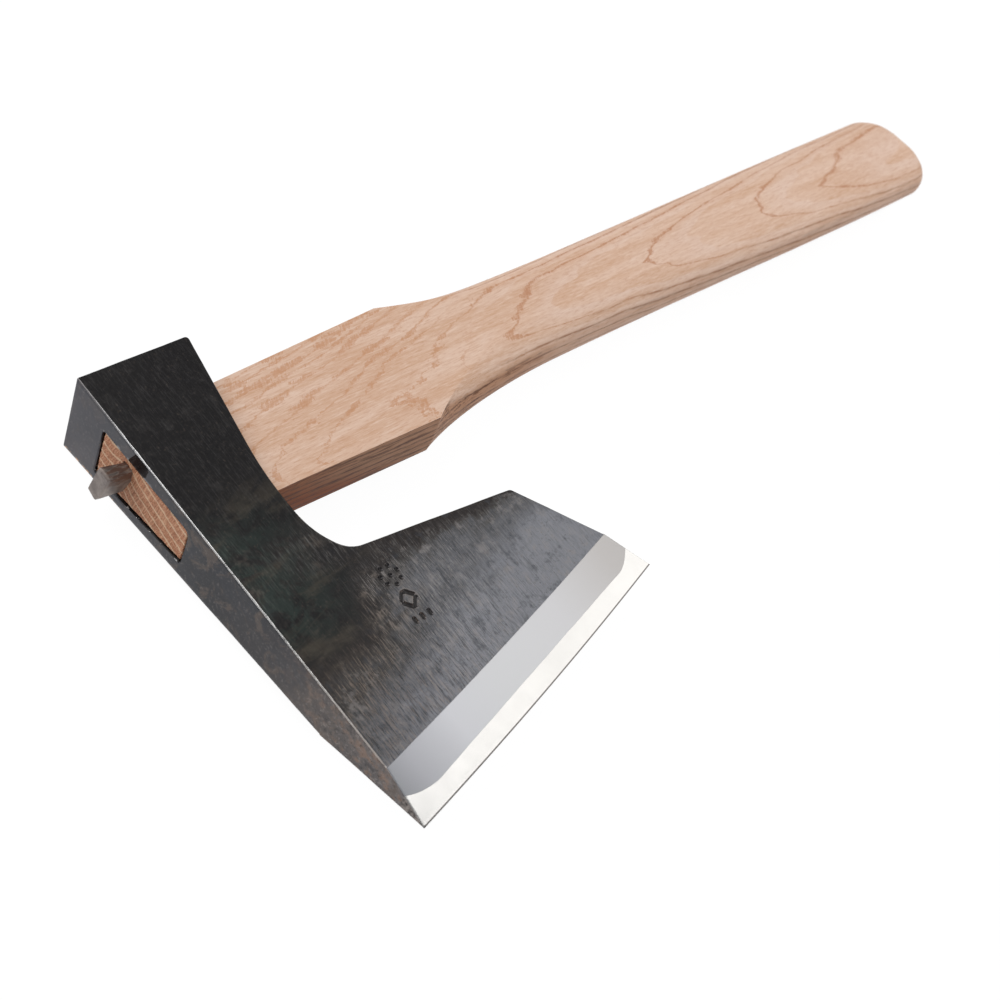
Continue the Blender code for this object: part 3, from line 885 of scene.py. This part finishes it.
class Surface:
    """Short calls for wiring a material's nodes. A colour is a socket or three screen levels
    from 0 to 255; any other value is a socket or a number."""

    def __init__(self, name):
        self.material = bpy.data.materials.new(name)
        self.material.use_nodes = True
        self.nodes = self.material.node_tree.nodes
        self.links = self.material.node_tree.links
        self.shader = self.nodes["Principled BSDF"]
        geometry = self.nodes.new("ShaderNodeNewGeometry")
        coordinate = self.nodes.new("ShaderNodeTexCoord")
        moved = self.vector("SUBTRACT", coordinate.outputs["Object"], tuple(EYE))
        self.place = self.vector("MULTIPLY", moved, (1.0 / MM,) * 3)
        self.x, self.y, self.z = self.split(self.place)
        self.nx, self.ny, self.nz = self.split(geometry.outputs["Normal"])

    def feed(self, socket, value):
        """Link a socket or set a plain value."""
        if isinstance(value, bpy.types.NodeSocket):
            self.links.new(value, socket)
        else:
            socket.default_value = value

    def wire(self, kind, *values, **settings):
        """New node with its first inputs fed and its settings made."""
        node = self.nodes.new("ShaderNode" + kind)
        for setting, value in settings.items():
            setattr(node, setting, value)
        for socket, value in zip(node.inputs, values):
            self.feed(socket, value)
        return node

    def vector(self, operation, first, second):
        return self.wire("VectorMath", first, second, operation=operation).outputs["Vector"]

    def split(self, vector):
        return self.wire("SeparateXYZ", vector).outputs

    def join(self, x, y, z):
        return self.wire("CombineXYZ", x, y, z).outputs[0]

    def math(self, operation, *values):
        return self.wire("Math", *values, operation=operation).outputs[0]

    def add(self, *values):
        total = values[0]
        for value in values[1:]:
            total = self.math("ADD", total, value)
        return total

    def times(self, *values):
        total = values[0]
        for value in values[1:]:
            total = self.math("MULTIPLY", total, value)
        return total

    def most(self, first, second):
        return self.math("MAXIMUM", first, second)

    def size(self, value):
        return self.math("ABSOLUTE", value)

    def without(self, share):
        """1 less a share."""
        return self.math("SUBTRACT", 1.0, share)

    def swing(self, value, width):
        """A noise that runs about 0 instead of about a half, made as wide as asked."""
        return self.times(self.math("SUBTRACT", value, 0.5), width)

    def plane(self, a, b, c, rest):
        """a * x + b * y + c * z + rest."""
        dot = self.wire("VectorMath", self.place, (a, b, c), operation="DOT_PRODUCT").outputs["Value"]
        return self.math("ADD", dot, rest)

    def noise(self, vector, detail, rough, twist=0.0):
        node = self.wire("TexNoise", vector)
        for name, value in (("Scale", 1.0), ("Detail", detail), ("Roughness", rough), ("Distortion", twist)):
            node.inputs[name].default_value = value
        return node.outputs["Fac"]

    def grain(self, stretch, detail, rough, twist=0.0):
        """Noise over the place in millimetres, scaled alike or by (x, y, z)."""
        scale = tuple(float(value) for value in np.broadcast_to(stretch, 3))
        return self.noise(self.vector("MULTIPLY", self.place, scale), detail, rough, twist)

    def step(self, value, low, high, to_low=0.0, to_high=1.0):
        """Ease between two values as value goes from low to high."""
        node = self.wire("MapRange", value, low, high, to_low, to_high, interpolation_type="SMOOTHSTEP")
        return node.outputs["Result"]

    def between(self, share, to_low, to_high):
        """Ease between two values as a share goes from 0 to 1."""
        return self.step(share, 0.0, 1.0, to_low, to_high)

    def window(self, value, low, low_full, high_full, high):
        """1 between two ends that each fade to 0."""
        return self.times(self.step(value, low, low_full), self.step(value, high, high_full))

    def mix(self, share, first, second):
        """Mix two colours."""
        node = self.wire("Mix", share, data_type="RGBA", clamp_factor=True)
        for socket, colour in zip((node.inputs[6], node.inputs[7]), (first, second)):
            self.feed(socket, srgb(*colour) if isinstance(colour, tuple) else colour)
        return node.outputs[2]

    def coat(self, base, colour, *shares):
        """Lay a colour over a base by the product of some shares."""
        return self.mix(self.times(*shares), base, colour)

    def ramp(self, value, *stops):
        """Colours at positions along a value."""
        node = self.wire("ValToRGB", value)
        elements = node.color_ramp.elements
        while len(elements) < len(stops):
            elements.new(0.5)
        for element, (position, *colour) in zip(elements, stops):
            element.position = position
            element.color = srgb(*colour)
        return node.outputs[0]

    def bump(self, height, distance, strength=0.5):
        """Bump from a height, its full depth given in millimetres."""
        node = self.wire("Bump", strength)
        self.feed(node.inputs["Distance"], distance * MM)
        self.feed(node.inputs["Height"], height)
        return node.outputs[0]

    def finish(self, **inputs):
        """Set the shader's inputs, given with underscores for spaces."""
        for name, value in inputs.items():
            self.feed(self.shader.inputs[name.replace("_", " ")], value)
        return self.material


class BladeSkin(Surface):
    """A surface that knows its place along the cutting edge and inward from it."""

    def __init__(self, name):
        super().__init__(name)
        self.inward = self.plane(*INWARD, 0.0, -float(TOE @ INWARD))
        self.run = self.plane(*ALONG, 0.0, -float(TOE @ ALONG))
        self.share = self.times(self.run, 1.0 / EDGE_LENGTH)


# ================================================================ materials of the head

class HeadSkin(BladeSkin):
    """Noises and masks that the parts of the head's skin share."""

    def __init__(self, name):
        super().__init__(name)
        self.up = self.step(self.nz, 0.72, 0.92)
        self.down = self.step(self.nz, -0.72, -0.92)
        self.flat = self.add(self.up, self.down)
        self.left = self.times(self.nx, -1.0)
        self.from_poll = self.times(self.math("SUBTRACT", POLL_Y, self.y), 1.0 / FACE_LENGTH)
        self.lines = self.grain((2.3, 0.13, 0.5), 4.0, 0.72)
        self.hairs = self.grain((4.6, 0.32, 1.0), 3.0, 0.68)
        self.cloud = self.grain(0.06, 3.0, 0.55, 0.3)
        drift = self.join(self.times(self.run, 0.035), self.times(self.inward, 0.13),
                          self.times(self.z, 0.05))
        self.bands = self.noise(drift, 5.0, 0.62, 0.6)
        self.blotch = self.grain(0.15, 6.0, 0.70, 0.8)
        self.rust = self.grain((0.30, 0.24, 0.30), 6.0, 0.68)
        self.speck = self.grain(1.1, 4.0, 0.7)
        self.wear = self.grain(0.7, 4.0, 0.7)
        self.toe_end = self.step(self.y, -48.0, -88.0)
        self.below_cheek = self.below(UPPER)
        upper_bevel = self.times(self.bevel_mask(UPPER), self.up)
        self.ground = self.add(upper_bevel, self.times(self.bevel_mask(LOWER), self.down))
        self.rough_skin = self.without(self.ground)

    def below(self, side):
        """How far the surface lies inside a cheek plane."""
        rest = side.sign * (side.sign * POLL_HALF - side.slope_y * POLL_Y)
        return self.plane(side.sign * side.slope_x, side.sign * side.slope_y, -side.sign, rest)

    def bevel_mask(self, side):
        """1 on the ground bevel of a side, 0 on its cheek."""
        slope = 0.27
        rest = side.sign * (side.sign * POLL_HALF - side.slope_y * POLL_Y + side.bevel * float(TOE @ INWARD))
        rise_x = side.sign * (side.slope_x - side.bevel * INWARD[0])
        rise_y = side.sign * (side.slope_y - side.bevel * INWARD[1])
        sag = self.times(self.share, self.without(self.share), -4.0 * SHOULDER_SAG * slope)
        heel = self.times(self.share, BACK_SHOULDER_SHIFT * slope)
        gap = self.add(self.plane(rise_x, rise_y, 0.0, rest), self.swing(self.hairs, 0.06), sag, heel)
        return self.step(gap, -0.010, 0.010)


def scale_tone_and_sheen(s):
    """Brightness of the scale, partly its own tone and partly a painted sheen that lightens it towards the
    bevel and the heel: 0 on the black poll and about 1 beside the bevel.
    """
    level = s.add(s.times(s.math("MINIMUM", s.x, 50.0), 0.0145), s.times(s.y, -0.024), -1.42)
    beside_ridge = s.times(s.step(s.x, 13.0, 0.0), s.window(s.y, -72.0, -58.0, -30.0, -14.0))
    neck = s.times(s.step(s.x, 4.0, 13.0), s.window(s.y, -46.0, -38.0, -33.0, -25.0))
    heel = s.times(s.step(s.x, 46.0, 88.0), s.step(s.y, -46.0, -58.0))
    low = s.step(s.y, -68.0, -80.0)
    pocket = s.times(s.step(s.x, 27.0, 17.0), s.window(s.y, -68.0, -61.0, -49.0, -42.0))
    by_mark = s.times(s.window(s.x, 21.0, 28.0, 40.0, 48.0), s.window(s.y, -62.0, -55.0, -50.0, -44.0))
    level = s.most(level, 0.0)
    for patch, lift in ((beside_ridge, 0.15), (neck, 0.13), (heel, 0.33), (low, 0.13), (pocket, -0.13),
                        (by_mark, 0.19)):
        level = s.add(level, s.times(patch, lift))
    return level


def cheek_colour(s):
    """Black forge scale lightened by a painted sheen towards the bevel, with brushed hairs, brown and green
    oxide and a dark beard rim.
    """
    # Scale tone with a painted sheen that brightens towards the bevel and the heel
    level = scale_tone_and_sheen(s)
    worked = s.step(level, 0.0, 0.40, 0.09, 1.0)
    neck_side = s.times(s.step(s.x, 44.0, 24.0), s.window(s.y, -74.0, -58.0, -24.0, -8.0))
    level = s.add(level, s.times(s.swing(s.cloud, 0.45), worked), s.times(s.swing(s.bands, 0.75), worked),
                  s.times(s.swing(s.blotch, s.between(neck_side, 0.55, 1.0)), worked))
    from_beard = s.add(s.plane(-0.113, -0.994, 0.0, -35.75), s.swing(s.blotch, 12.0))
    strip_width = s.step(s.x, 44.0, 84.0, 8.5, 3.0)
    dark_strip = s.times(s.step(from_beard, strip_width, 0.4), s.step(s.x, 28.0, 44.0))
    level = s.times(level, s.between(dark_strip, 1.0, 0.10))
    # Scale colours from black to grey; the lighter ones carry the painted sheen
    base = s.ramp(level, (0.0, 11, 7, 8), (0.2, 44, 38, 35), (0.4, 71, 68, 66), (0.6, 92, 92, 95),
                  (0.8, 112, 113, 118), (1.0, 132, 133, 139))

    green = s.times(s.step(s.x, 30.0, 4.0), s.window(s.y, -62.0, -48.0, -30.0, -12.0))
    brown = s.times(s.step(s.x, 48.0, 12.0), s.step(s.y, -42.0, -56.0))
    base = s.coat(base, (34, 47, 42), green, s.step(s.blotch, 0.38, 0.56), 0.80)
    base = s.coat(base, (76, 68, 56), s.step(s.bands, 0.50, 0.68), neck_side, 0.60)
    base = s.coat(base, (22, 20, 21), s.step(s.bands, 0.48, 0.34), neck_side, 0.60)
    base = s.coat(base, (34, 24, 20), dark_strip, 0.7)

    strokes = s.times(worked, s.step(s.run, 36.0, 84.0, 1.0, 0.35), s.between(dark_strip, 1.0, 0.25))
    pale = s.mix(brown, s.mix(green, (168, 164, 162), (124, 134, 126)), (146, 128, 114))
    base = s.coat(base, pale, s.step(s.lines, 0.53, 0.66), strokes, 0.46)
    base = s.coat(base, (22, 19, 19), s.step(s.lines, 0.48, 0.36), strokes, 0.56)
    base = s.coat(base, pale, s.step(s.hairs, 0.54, 0.66), strokes, 0.62)
    base = s.coat(base, (24, 21, 21), s.step(s.hairs, 0.47, 0.34), strokes, 0.66)
    tan = s.mix(neck_side, (146, 140, 137), (140, 127, 116))
    base = s.coat(base, tan, s.step(s.rust, 0.53, 0.68), worked, s.between(dark_strip, 0.52, 0.10))
    base = s.coat(base, (54, 57, 64), s.step(s.rust, 0.47, 0.32), worked, 0.55)
    base = s.coat(base, (98, 84, 72), s.step(s.speck, 0.58, 0.72), s.step(worked, 0.1, 1.0, 0.30, 0.42))
    base = s.coat(base, (30, 28, 30), s.step(s.speck, 0.42, 0.30), worked, 0.40)

    stamped = s.times(s.up, s.rough_skin, s.step(s.x, 24.0, 26.0), s.step(s.x, 44.0, 42.0))
    base = s.coat(base, (22, 16, 15), s.step(s.below_cheek, 0.10, 0.20), stamped, 0.95)
    return s.coat(base, (150, 140, 132), s.step(s.below_cheek, -0.05, -0.11), stamped, 0.45)


def wall_colour(s):
    """Front, back and poll faces, smooth near the eye and speckled with rust at the toe."""
    wall = s.ramp(s.from_poll, (0.0, 75, 73, 78), (0.25, 58, 58, 62), (0.42, 40, 41, 45), (0.6, 53, 51, 53),
                  (0.74, 90, 83, 80), (1.0, 116, 110, 109))
    speckled = s.between(s.toe_end, 0.22, 0.75)
    wall = s.coat(wall, (46, 49, 56), s.step(s.cloud, 0.40, 0.62), 0.45)
    wall = s.coat(wall, (92, 80, 72), s.step(s.blotch, 0.50, 0.62), s.step(s.y, 4.0, -20.0, 0.15, 0.55))
    wall = s.coat(wall, (136, 110, 94), s.step(s.rust, 0.50, 0.62), s.toe_end, 0.62)
    wall = s.coat(wall, (54, 52, 56), s.step(s.rust, 0.48, 0.36), s.toe_end, 0.62)
    wall = s.coat(wall, (138, 131, 128), s.step(s.speck, 0.54, 0.68), speckled)
    return s.coat(wall, (36, 33, 34), s.step(s.speck, 0.45, 0.32), speckled)


def worn_edges_and_highlight(s, base):
    """Rubbed arrises over a base colour, with the front arris and the lower rim of the eye painted near
    white as worn bare steel and a painted highlight, and the mask of the bright one on the front face.
    """
    front = s.times(s.step(s.left, 0.28, 0.42), s.step(s.nz, 0.28, 0.42), s.step(s.x, 1.2, 0.9),
                    s.step(s.below_cheek, 1.1, 0.8))
    rubbed_and_highlit = s.times(front, s.step(s.wear, 0.26, 0.42), s.step(s.y, -86.0, -58.0, 0.75, 1.0), s.rough_skin)
    side_on = s.most(s.step(s.size(s.nx), 0.80, 0.97), s.step(s.size(s.ny), 0.80, 0.97))
    rounded = s.most(s.without(s.most(s.flat, side_on)), 0.0)
    base = s.coat(base, (122, 108, 94), rounded, s.step(s.wear, 0.56, 0.64), 0.45)
    chips = s.times(s.step(s.below(LOWER), 1.0, 0.5), s.step(s.left, 0.10, 0.30), s.step(s.y, 2.0, 12.0))
    base = s.coat(base, (206, 164, 130), chips, s.step(s.wear, 0.48, 0.56))
    # Lower rim of the eye, painted bright as worn steel with a painted highlight
    rim = s.times(s.step(s.left, 0.15, 0.4), s.step(s.nz, 0.15, 0.4), s.step(s.z, -6.0, -7.0))
    rim = s.times(rim, s.step(s.wear, 0.60, 0.66))
    # Near-white worn steel and painted highlight along the front arris and the eye's lower rim
    bare_steel_and_highlight = s.ramp(s.from_poll, (0.0, 128, 124, 124), (0.10, 156, 154, 154), (0.17, 236, 235, 234),
                   (0.62, 234, 232, 229), (0.85, 212, 202, 194))
    return s.coat(base, bare_steel_and_highlight, s.most(rubbed_and_highlit, rim)), rubbed_and_highlit


def forge_scale_material():
    """Forged body: scale with a painted sheen on the cheeks, darker walls, satin bevels and bright ridges
    painted as worn bare steel with a painted highlight.
    """
    s = HeadSkin("forge_scale")
    base = s.mix(s.flat, wall_colour(s), cheek_colour(s))
    satin = s.ramp(s.share, (0.0, 138, 139, 142), (0.09, 161, 161, 165), (0.24, 179, 179, 182),
                   (0.40, 174, 174, 175), (0.67, 165, 164, 165), (0.90, 149, 146, 144), (1.0, 145, 142, 140))
    base, rubbed_and_highlit = worn_edges_and_highlight(s, s.mix(s.ground, base, satin))
    metal = s.most(s.most(s.ground, s.between(s.flat, 0.9, 0.0)), rubbed_and_highlit)
    by_eye = s.step(s.size(s.add(s.y, -2.0)), 30.0, 12.0)
    wall_gloss = s.between(s.toe_end, s.between(by_eye, 0.13, 0.05), 0.42)
    roughness = s.between(s.flat, wall_gloss, s.step(s.speck, 0.3, 0.7, 0.34, 0.44))
    roughness = s.between(s.ground, roughness, 0.385)
    pitting = s.times(s.speck, s.between(s.times(by_eye, s.without(s.flat)), 0.3, 0.02))
    brushing = s.add(s.times(s.lines, 0.8, s.flat), s.times(s.hairs, 0.5, s.flat))
    height = s.times(s.add(brushing, pitting), s.rough_skin)
    return s.finish(Base_Color=base, Metallic=metal, Roughness=roughness, Specular_IOR_Level=0.35,
                    Normal=s.bump(height, 0.05))


def polished_steel_material():
    """Bright finished edge steel, a dark line along the very edge and black scale on its two ends."""
    s = BladeSkin("polished_steel")
    centred = s.add(s.times(s.share, 2.0), -1.0)
    from_edge = s.add(s.inward, EDGE_BOW, s.times(centred, centred, -EDGE_BOW))
    hone = s.grain((6.0, 0.25, 1.0), 3.0, 0.6)
    cloud = s.grain(0.15, 3.0, 0.6)
    speck = s.grain(1.1, 4.0, 0.7)
    base = s.ramp(s.share, (0.0, 204, 202, 199), (0.25, 180, 178, 175), (0.55, 168, 166, 163),
                  (1.0, 170, 168, 165))
    base = s.coat(base, (150, 148, 145), hone, 0.10)
    base = s.coat(base, (84, 80, 78), s.step(from_edge, 0.42, 0.26))
    end = s.step(s.size(s.nz), 0.75, 0.45)
    base = s.coat(base, s.mix(s.step(speck, 0.38, 0.62), (52, 48, 47), (134, 126, 122)), end)
    roughness = s.between(end, s.add(0.18, s.times(cloud, 0.10)), 0.42)
    return s.finish(Base_Color=base, Metallic=1.0, Roughness=roughness, Normal=s.bump(hone, 0.01, 0.3))


# ================================================================ material of the handle

class Oak(Surface):
    """Growth rings and fibres that the parts of the handle's wood share."""

    RING_GAP = 2.3
    HEART_CURVE = 150.0

    def __init__(self, name):
        super().__init__(name)
        self.jag = self.grain((0.55, 0.9, 0.9), 3.0, 0.6)
        self.grip = self.step(self.x, 96.0, 150.0)
        self.flank = self.step(self.size(self.ny), 0.62, 0.85)
        from_heart = self.math("SUBTRACT", self.y, self.step(self.x, 30.0, 170.0, -17.0, -5.0))
        arch = self.times(from_heart, from_heart, -1.0 / self.HEART_CURVE)
        warp = self.grain((0.022, 0.09, 0.09), 2.0, 0.5, 0.2)
        rings = self.add(self.z, arch, self.times(self.x, 0.043), 0.86, self.swing(warp, 2.6),
                         self.swing(self.jag, self.between(self.grip, 0.45, 0.10)))
        uneven = self.noise(self.join(self.times(rings, 0.30), 0.0, 0.0), 1.0, 0.5)
        rings = self.add(rings, self.swing(uneven, 2.2))
        self.phase, self.away = self.in_ring(rings, self.RING_GAP)
        climb = self.times(from_heart, 2.0 / self.HEART_CURVE)
        self.grade = self.math("SQRT", self.add(self.times(climb, climb), 0.0045))
        self.fibre = self.grain((0.13, 1.7, 1.7), 5.0, 0.72)
        self.fine = self.grain((0.36, 3.2, 3.2), 3.0, 0.65)
        self.streak = self.grain((0.018, 0.26, 0.26), 3.0, 0.6)

    def in_ring(self, rings, gap):
        """Place inside a growth ring from 0 to 1, and distance from its line in millimetres."""
        phase = self.math("FRACT", self.times(rings, 1.0 / gap))
        return phase, self.times(self.size(self.math("SUBTRACT", phase, 0.5)), gap)


def oak_figure(s):
    """Cathedral lines and hatched flecks seen from above, with how strongly each place is marked."""
    fleck = s.grain((0.13, 0.42, 0.42), 2.0, 0.5)
    reach = s.between(s.grip, s.step(fleck, 0.44, 0.64, 0.12, 1.25), s.step(fleck, 0.42, 0.66, 0.32, 0.85))
    slant = s.join(s.plane(1.9, -1.1, 0.0, 0.0), s.plane(0.22, 0.38, 0.0, 0.0), s.times(s.z, 0.6))
    hatch = s.noise(slant, 4.0, 0.70)
    pores = s.grain((0.45, 3.2, 3.2), 3.0, 0.65)
    spread_out = s.times(reach, s.step(hatch, 0.32, 0.62, 0.30, 1.2))
    away = s.math("DIVIDE", s.away, s.grade)
    early = s.step(s.math("SUBTRACT", away, spread_out), 0.36, -0.18)
    midway = s.math("DIVIDE", s.math("SUBTRACT", s.RING_GAP / 2.0, s.away), s.grade)
    second = s.step(s.math("SUBTRACT", midway, s.times(spread_out, 0.7)), 0.36, -0.18)
    early = s.most(early, s.times(second, s.step(s.x, 118.0, 92.0)))
    early = s.times(early, s.step(s.add(hatch, pores), 0.80, 1.12, 0.35, 1.0))
    base = s.mix(s.step(s.streak, 0.36, 0.64), (224, 183, 154), (236, 202, 179))
    base = s.coat(base, (238, 208, 190), s.step(s.phase, 0.45, 1.0), s.grip, 0.6)
    base = s.coat(base, (212, 164, 132), s.step(s.fibre, 0.53, 0.64), 0.55)
    base = s.coat(base, (243, 214, 195), s.step(s.fibre, 0.47, 0.36), 0.55)
    base = s.coat(base, (208, 158, 126), s.step(s.fine, 0.54, 0.66), 0.50)
    base = s.coat(base, (244, 217, 199), s.step(s.fine, 0.46, 0.34), 0.40)
    ink = s.mix(s.grip, (206, 147, 106), (196, 136, 100))
    return s.coat(base, ink, early, s.between(s.grip, 0.68, 0.85)), early


def oak_side(s):
    """Sides of the block: darker by painted shade, with broken brown lines, and deepest in colour beside the
    head, where a painted shadow of the head falls, darkest on the side that faces the cutting edge.
    """
    # Painted shadow of the head on the block's sides, darker and warmer on the side facing the cutting edge
    head_shadow = s.step(s.add(s.x, s.times(s.z, 2.2), s.swing(s.streak, 34.0)), 62.0, 26.0)
    vein = s.grain((0.055, 1.0, 1.0), 4.0, 0.68, 0.4)
    shadow_by_side = s.mix(s.step(s.ny, -0.2, 0.2), (164, 80, 20), (186, 130, 92))
    side = s.mix(head_shadow, (200, 151, 119), shadow_by_side)
    side = s.coat(side, (150, 98, 66), s.step(s.fibre, 0.50, 0.62), 0.60)
    side = s.coat(side, (108, 66, 40), s.step(vein, 0.53, 0.60), 0.70)
    line = s.times(s.step(s.away, 0.52, 0.10), s.step(s.fibre, 0.38, 0.56, 0.10, 1.0))
    return s.coat(side, (82, 46, 28), line, s.step(s.fine, 0.32, 0.55, 0.5, 1.0), 0.88)


def oak_end(s):
    """Sawn end grain in the eye: pale growth lines that bend round the wedge, rays and pores."""
    from_wedge = s.add(s.y, -8.3)
    bend = s.math("EXPONENT", s.times(from_wedge, from_wedge, -0.09))
    rings = s.add(s.z, s.times(s.y, -0.27), s.times(bend, -2.2), s.swing(s.jag, 0.9))
    _, away = s.in_ring(rings, 3.1)
    radial = s.noise(s.join(0.0, s.plane(0.0, 2.3, 0.66, 0.0), s.plane(0.0, -0.05, 0.20, 0.0)), 4.0, 0.65)
    vessel = s.grain((0.5, 3.8, 3.8), 3.0, 0.7)
    base = s.mix(s.step(vessel, 0.38, 0.62), (172, 102, 68), (240, 178, 140))
    base = s.coat(base, (250, 196, 156), s.step(radial, 0.53, 0.60), 0.75)
    base = s.coat(base, (146, 86, 60), s.step(radial, 0.46, 0.36), 0.55)
    base = s.coat(base, (104, 58, 40), s.step(vessel, 0.36, 0.28), 0.75)
    return s.coat(base, (255, 218, 182), s.step(away, 0.38, 0.12), 0.95), s.add(radial, vessel)


def oak_material():
    """Flat-sawn oak: cathedral figure above, straight lines and painted shade on the sides, sawn grain in
    the eye.
    """
    s = Oak("white_oak")
    base, early = oak_figure(s)
    # Sides darker by painted shade, fully on the block and less on the grip
    base = s.coat(base, oak_side(s), s.flank, s.step(s.x, 150.0, 104.0, 0.30, 1.0))
    side_on = s.times(s.step(s.size(s.ny), 0.35, 0.62), s.step(s.x, 96.0, 120.0))
    vein = s.times(s.step(s.away, 0.30, 0.05), s.step(s.fibre, 0.40, 0.58, 0.25, 1.0))
    base = s.coat(base, (146, 94, 64), side_on, vein, 0.55)
    from_head = s.add(s.plane(1.0, -0.195, 0.0, -26.9), s.times(s.fibre, -3.5))
    base = s.coat(base, (146, 98, 68), s.step(from_head, 0.9, -1.2), 0.55)
    end = s.step(s.x, 2.2, 1.4)
    end_base, end_height = oak_end(s)
    base = s.coat(base, end_base, end)
    height = s.add(s.times(s.fibre, 0.5), s.times(early, -0.6), s.times(s.fine, -0.3),
                   s.times(end_height, end, 1.2))
    return s.finish(Base_Color=base, Roughness=0.58, Specular_IOR_Level=0.30,
                    Normal=s.bump(height, 0.06, 0.55))


# ================================================================ material of the wedge

def wedge_material():
    """Hammered grey iron with a rust-brown band."""
    s = Surface("dull_iron")
    pits = s.grain(2.2, 3.0, 0.6)
    drawn = s.grain((0.25, 1.4, 1.4), 3.0, 0.6)
    clouded = s.step(s.grain(0.4, 3.0, 0.6), 0.35, 0.65)
    face = s.step(s.nx, -0.45, -0.65)
    base = s.mix(face, s.mix(clouded, (116, 103, 97), (156, 143, 134)),
                 s.mix(clouded, (120, 108, 103), (148, 136, 129)))
    shank = s.times(s.step(s.x, -6.5, -5.8), s.step(face, 1.0, 0.0))
    base = s.coat(base, (104, 72, 56), shank, s.step(s.z, 0.5, 2.2), s.step(drawn, 0.40, 0.54), 0.80)
    base = s.coat(base, (70, 60, 55), s.step(drawn, 0.44, 0.34), shank, 0.6)
    base = s.coat(base, (34, 29, 28), s.step(pits, 0.64, 0.72), 0.85)
    return s.finish(Base_Color=base, Metallic=0.30, Roughness=0.42, Normal=s.bump(pits, 0.06))


# ================================================================ stage

def blend_shaders(tree, share, first, second, output):
    """Mix two shaders by a share and send them to an output node."""
    blend = tree.nodes.new("ShaderNodeMixShader")
    for socket, source in zip(blend.inputs, (share, first.outputs[0], second.outputs[0])):
        tree.links.new(source, socket)
    tree.links.new(blend.outputs[0], tree.nodes[output].inputs["Surface"])


def build_floor():
    """Pale floor under the head, large enough to fill the view."""
    shape = bmesh.new()
    bmesh.ops.create_grid(shape, x_segments=8, y_segments=8, size=FLOOR_SIZE)
    mesh = bpy.data.meshes.new("floor")
    shape.to_mesh(mesh)
    shape.free()
    floor = link("floor", mesh)
    floor.location.z = min(HEAD_LOW.z, HANDLE_LOW.z) - FLOOR_GAP * MM
    s = Surface("pale_floor")
    base = s.mix(s.grain(0.01, 2.0, 0.5), (196, 196, 198), (204, 204, 205))
    s.finish(Base_Color=base, Roughness=0.9, Specular_IOR_Level=0.1)
    paths = s.wire("LightPath").outputs
    glow = s.wire("Emission", (1.0, 1.0, 1.0, 1.0), FLOOR_GLOW)
    seen = s.times(s.most(paths["Is Camera Ray"], paths["Is Glossy Ray"]), FLOOR_GLOW_SHARE)
    blend_shaders(s.material.node_tree, seen, s.shader, glow, "Material Output")
    mesh.materials.append(s.material)


def add_light(name, direction, distance, size, power):
    """Soft box that looks at the object from a direction."""
    light = bpy.data.lights.new(name, "AREA")
    light.shape = "RECTANGLE"
    light.size, light.size_y = size
    light.energy = power
    direction = Vector(direction).normalized()
    lamp = link(name, light)
    lamp.location = Vector(place(LIGHT_TARGET)) + direction * distance
    lamp.rotation_euler = direction.to_track_quat("Z", "Y").to_euler()


def add_camera():
    """Camera above the front face of the head, rolled so that the handle rises to the right."""
    level = math.cos(CAMERA_ELEVATION)
    back = Vector((math.sin(CAMERA_AZIMUTH) * level, -math.cos(CAMERA_AZIMUTH) * level,
                   math.sin(CAMERA_ELEVATION)))
    right = Vector((0.0, 0.0, 1.0)).cross(back).normalized()
    up = back.cross(right)
    turned_right = right * math.cos(CAMERA_ROLL) + up * math.sin(CAMERA_ROLL)
    turned_up = up * math.cos(CAMERA_ROLL) - right * math.sin(CAMERA_ROLL)
    camera = bpy.data.cameras.new("camera")
    camera.sensor_width = CAMERA_SENSOR
    camera.lens = CAMERA_LENS
    camera.dof.use_dof = True
    camera.dof.focus_distance = CAMERA_FOCUS
    camera.dof.aperture_fstop = CAMERA_STOP
    turn = Matrix((turned_right, turned_up, back)).transposed().to_4x4()
    spot = Vector(place(CAMERA_TARGET)) + back * CAMERA_DISTANCE * MM
    view = link("camera", camera)
    view.matrix_world = Matrix.Translation(spot) @ turn
    bpy.context.scene.camera = view


def set_world():
    """Dim surroundings for light and reflections, white where the camera sees them."""
    world = bpy.data.worlds.new("studio")
    world.use_nodes = True
    tree = world.node_tree
    dim = tree.nodes["Background"]
    dim.inputs["Color"].default_value = SKY
    dim.inputs["Strength"].default_value = SKY_STRENGTH
    white = tree.nodes.new("ShaderNodeBackground")
    white.inputs["Color"].default_value = (1.0, 1.0, 1.0, 1.0)
    seen = tree.nodes.new("ShaderNodeLightPath").outputs["Is Camera Ray"]
    blend_shaders(tree, seen, dim, white, "World Output")
    bpy.context.scene.world = world
    bpy.context.scene.view_settings.view_transform = "Standard"


def main():
    """Build every piece, the stage, the lights and the camera."""
    for build, material, node, slot in (
            (build_head_body, forge_scale_material, "head", "forge_scale"),
            (build_edge_band, polished_steel_material, "edge_steel", "polished_steel"),
            (build_oak_handle, oak_material, "handle", "white_oak"),
            (build_iron_wedge, wedge_material, "wedge", "dull_iron")):
        piece = build()
        piece.data.materials.clear()
        piece.data.materials.append(material())
        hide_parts(node)
        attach(piece, BODY)
    build_floor()
    for light in LIGHTS:
        add_light(*light)
    set_world()
    add_camera()


main()
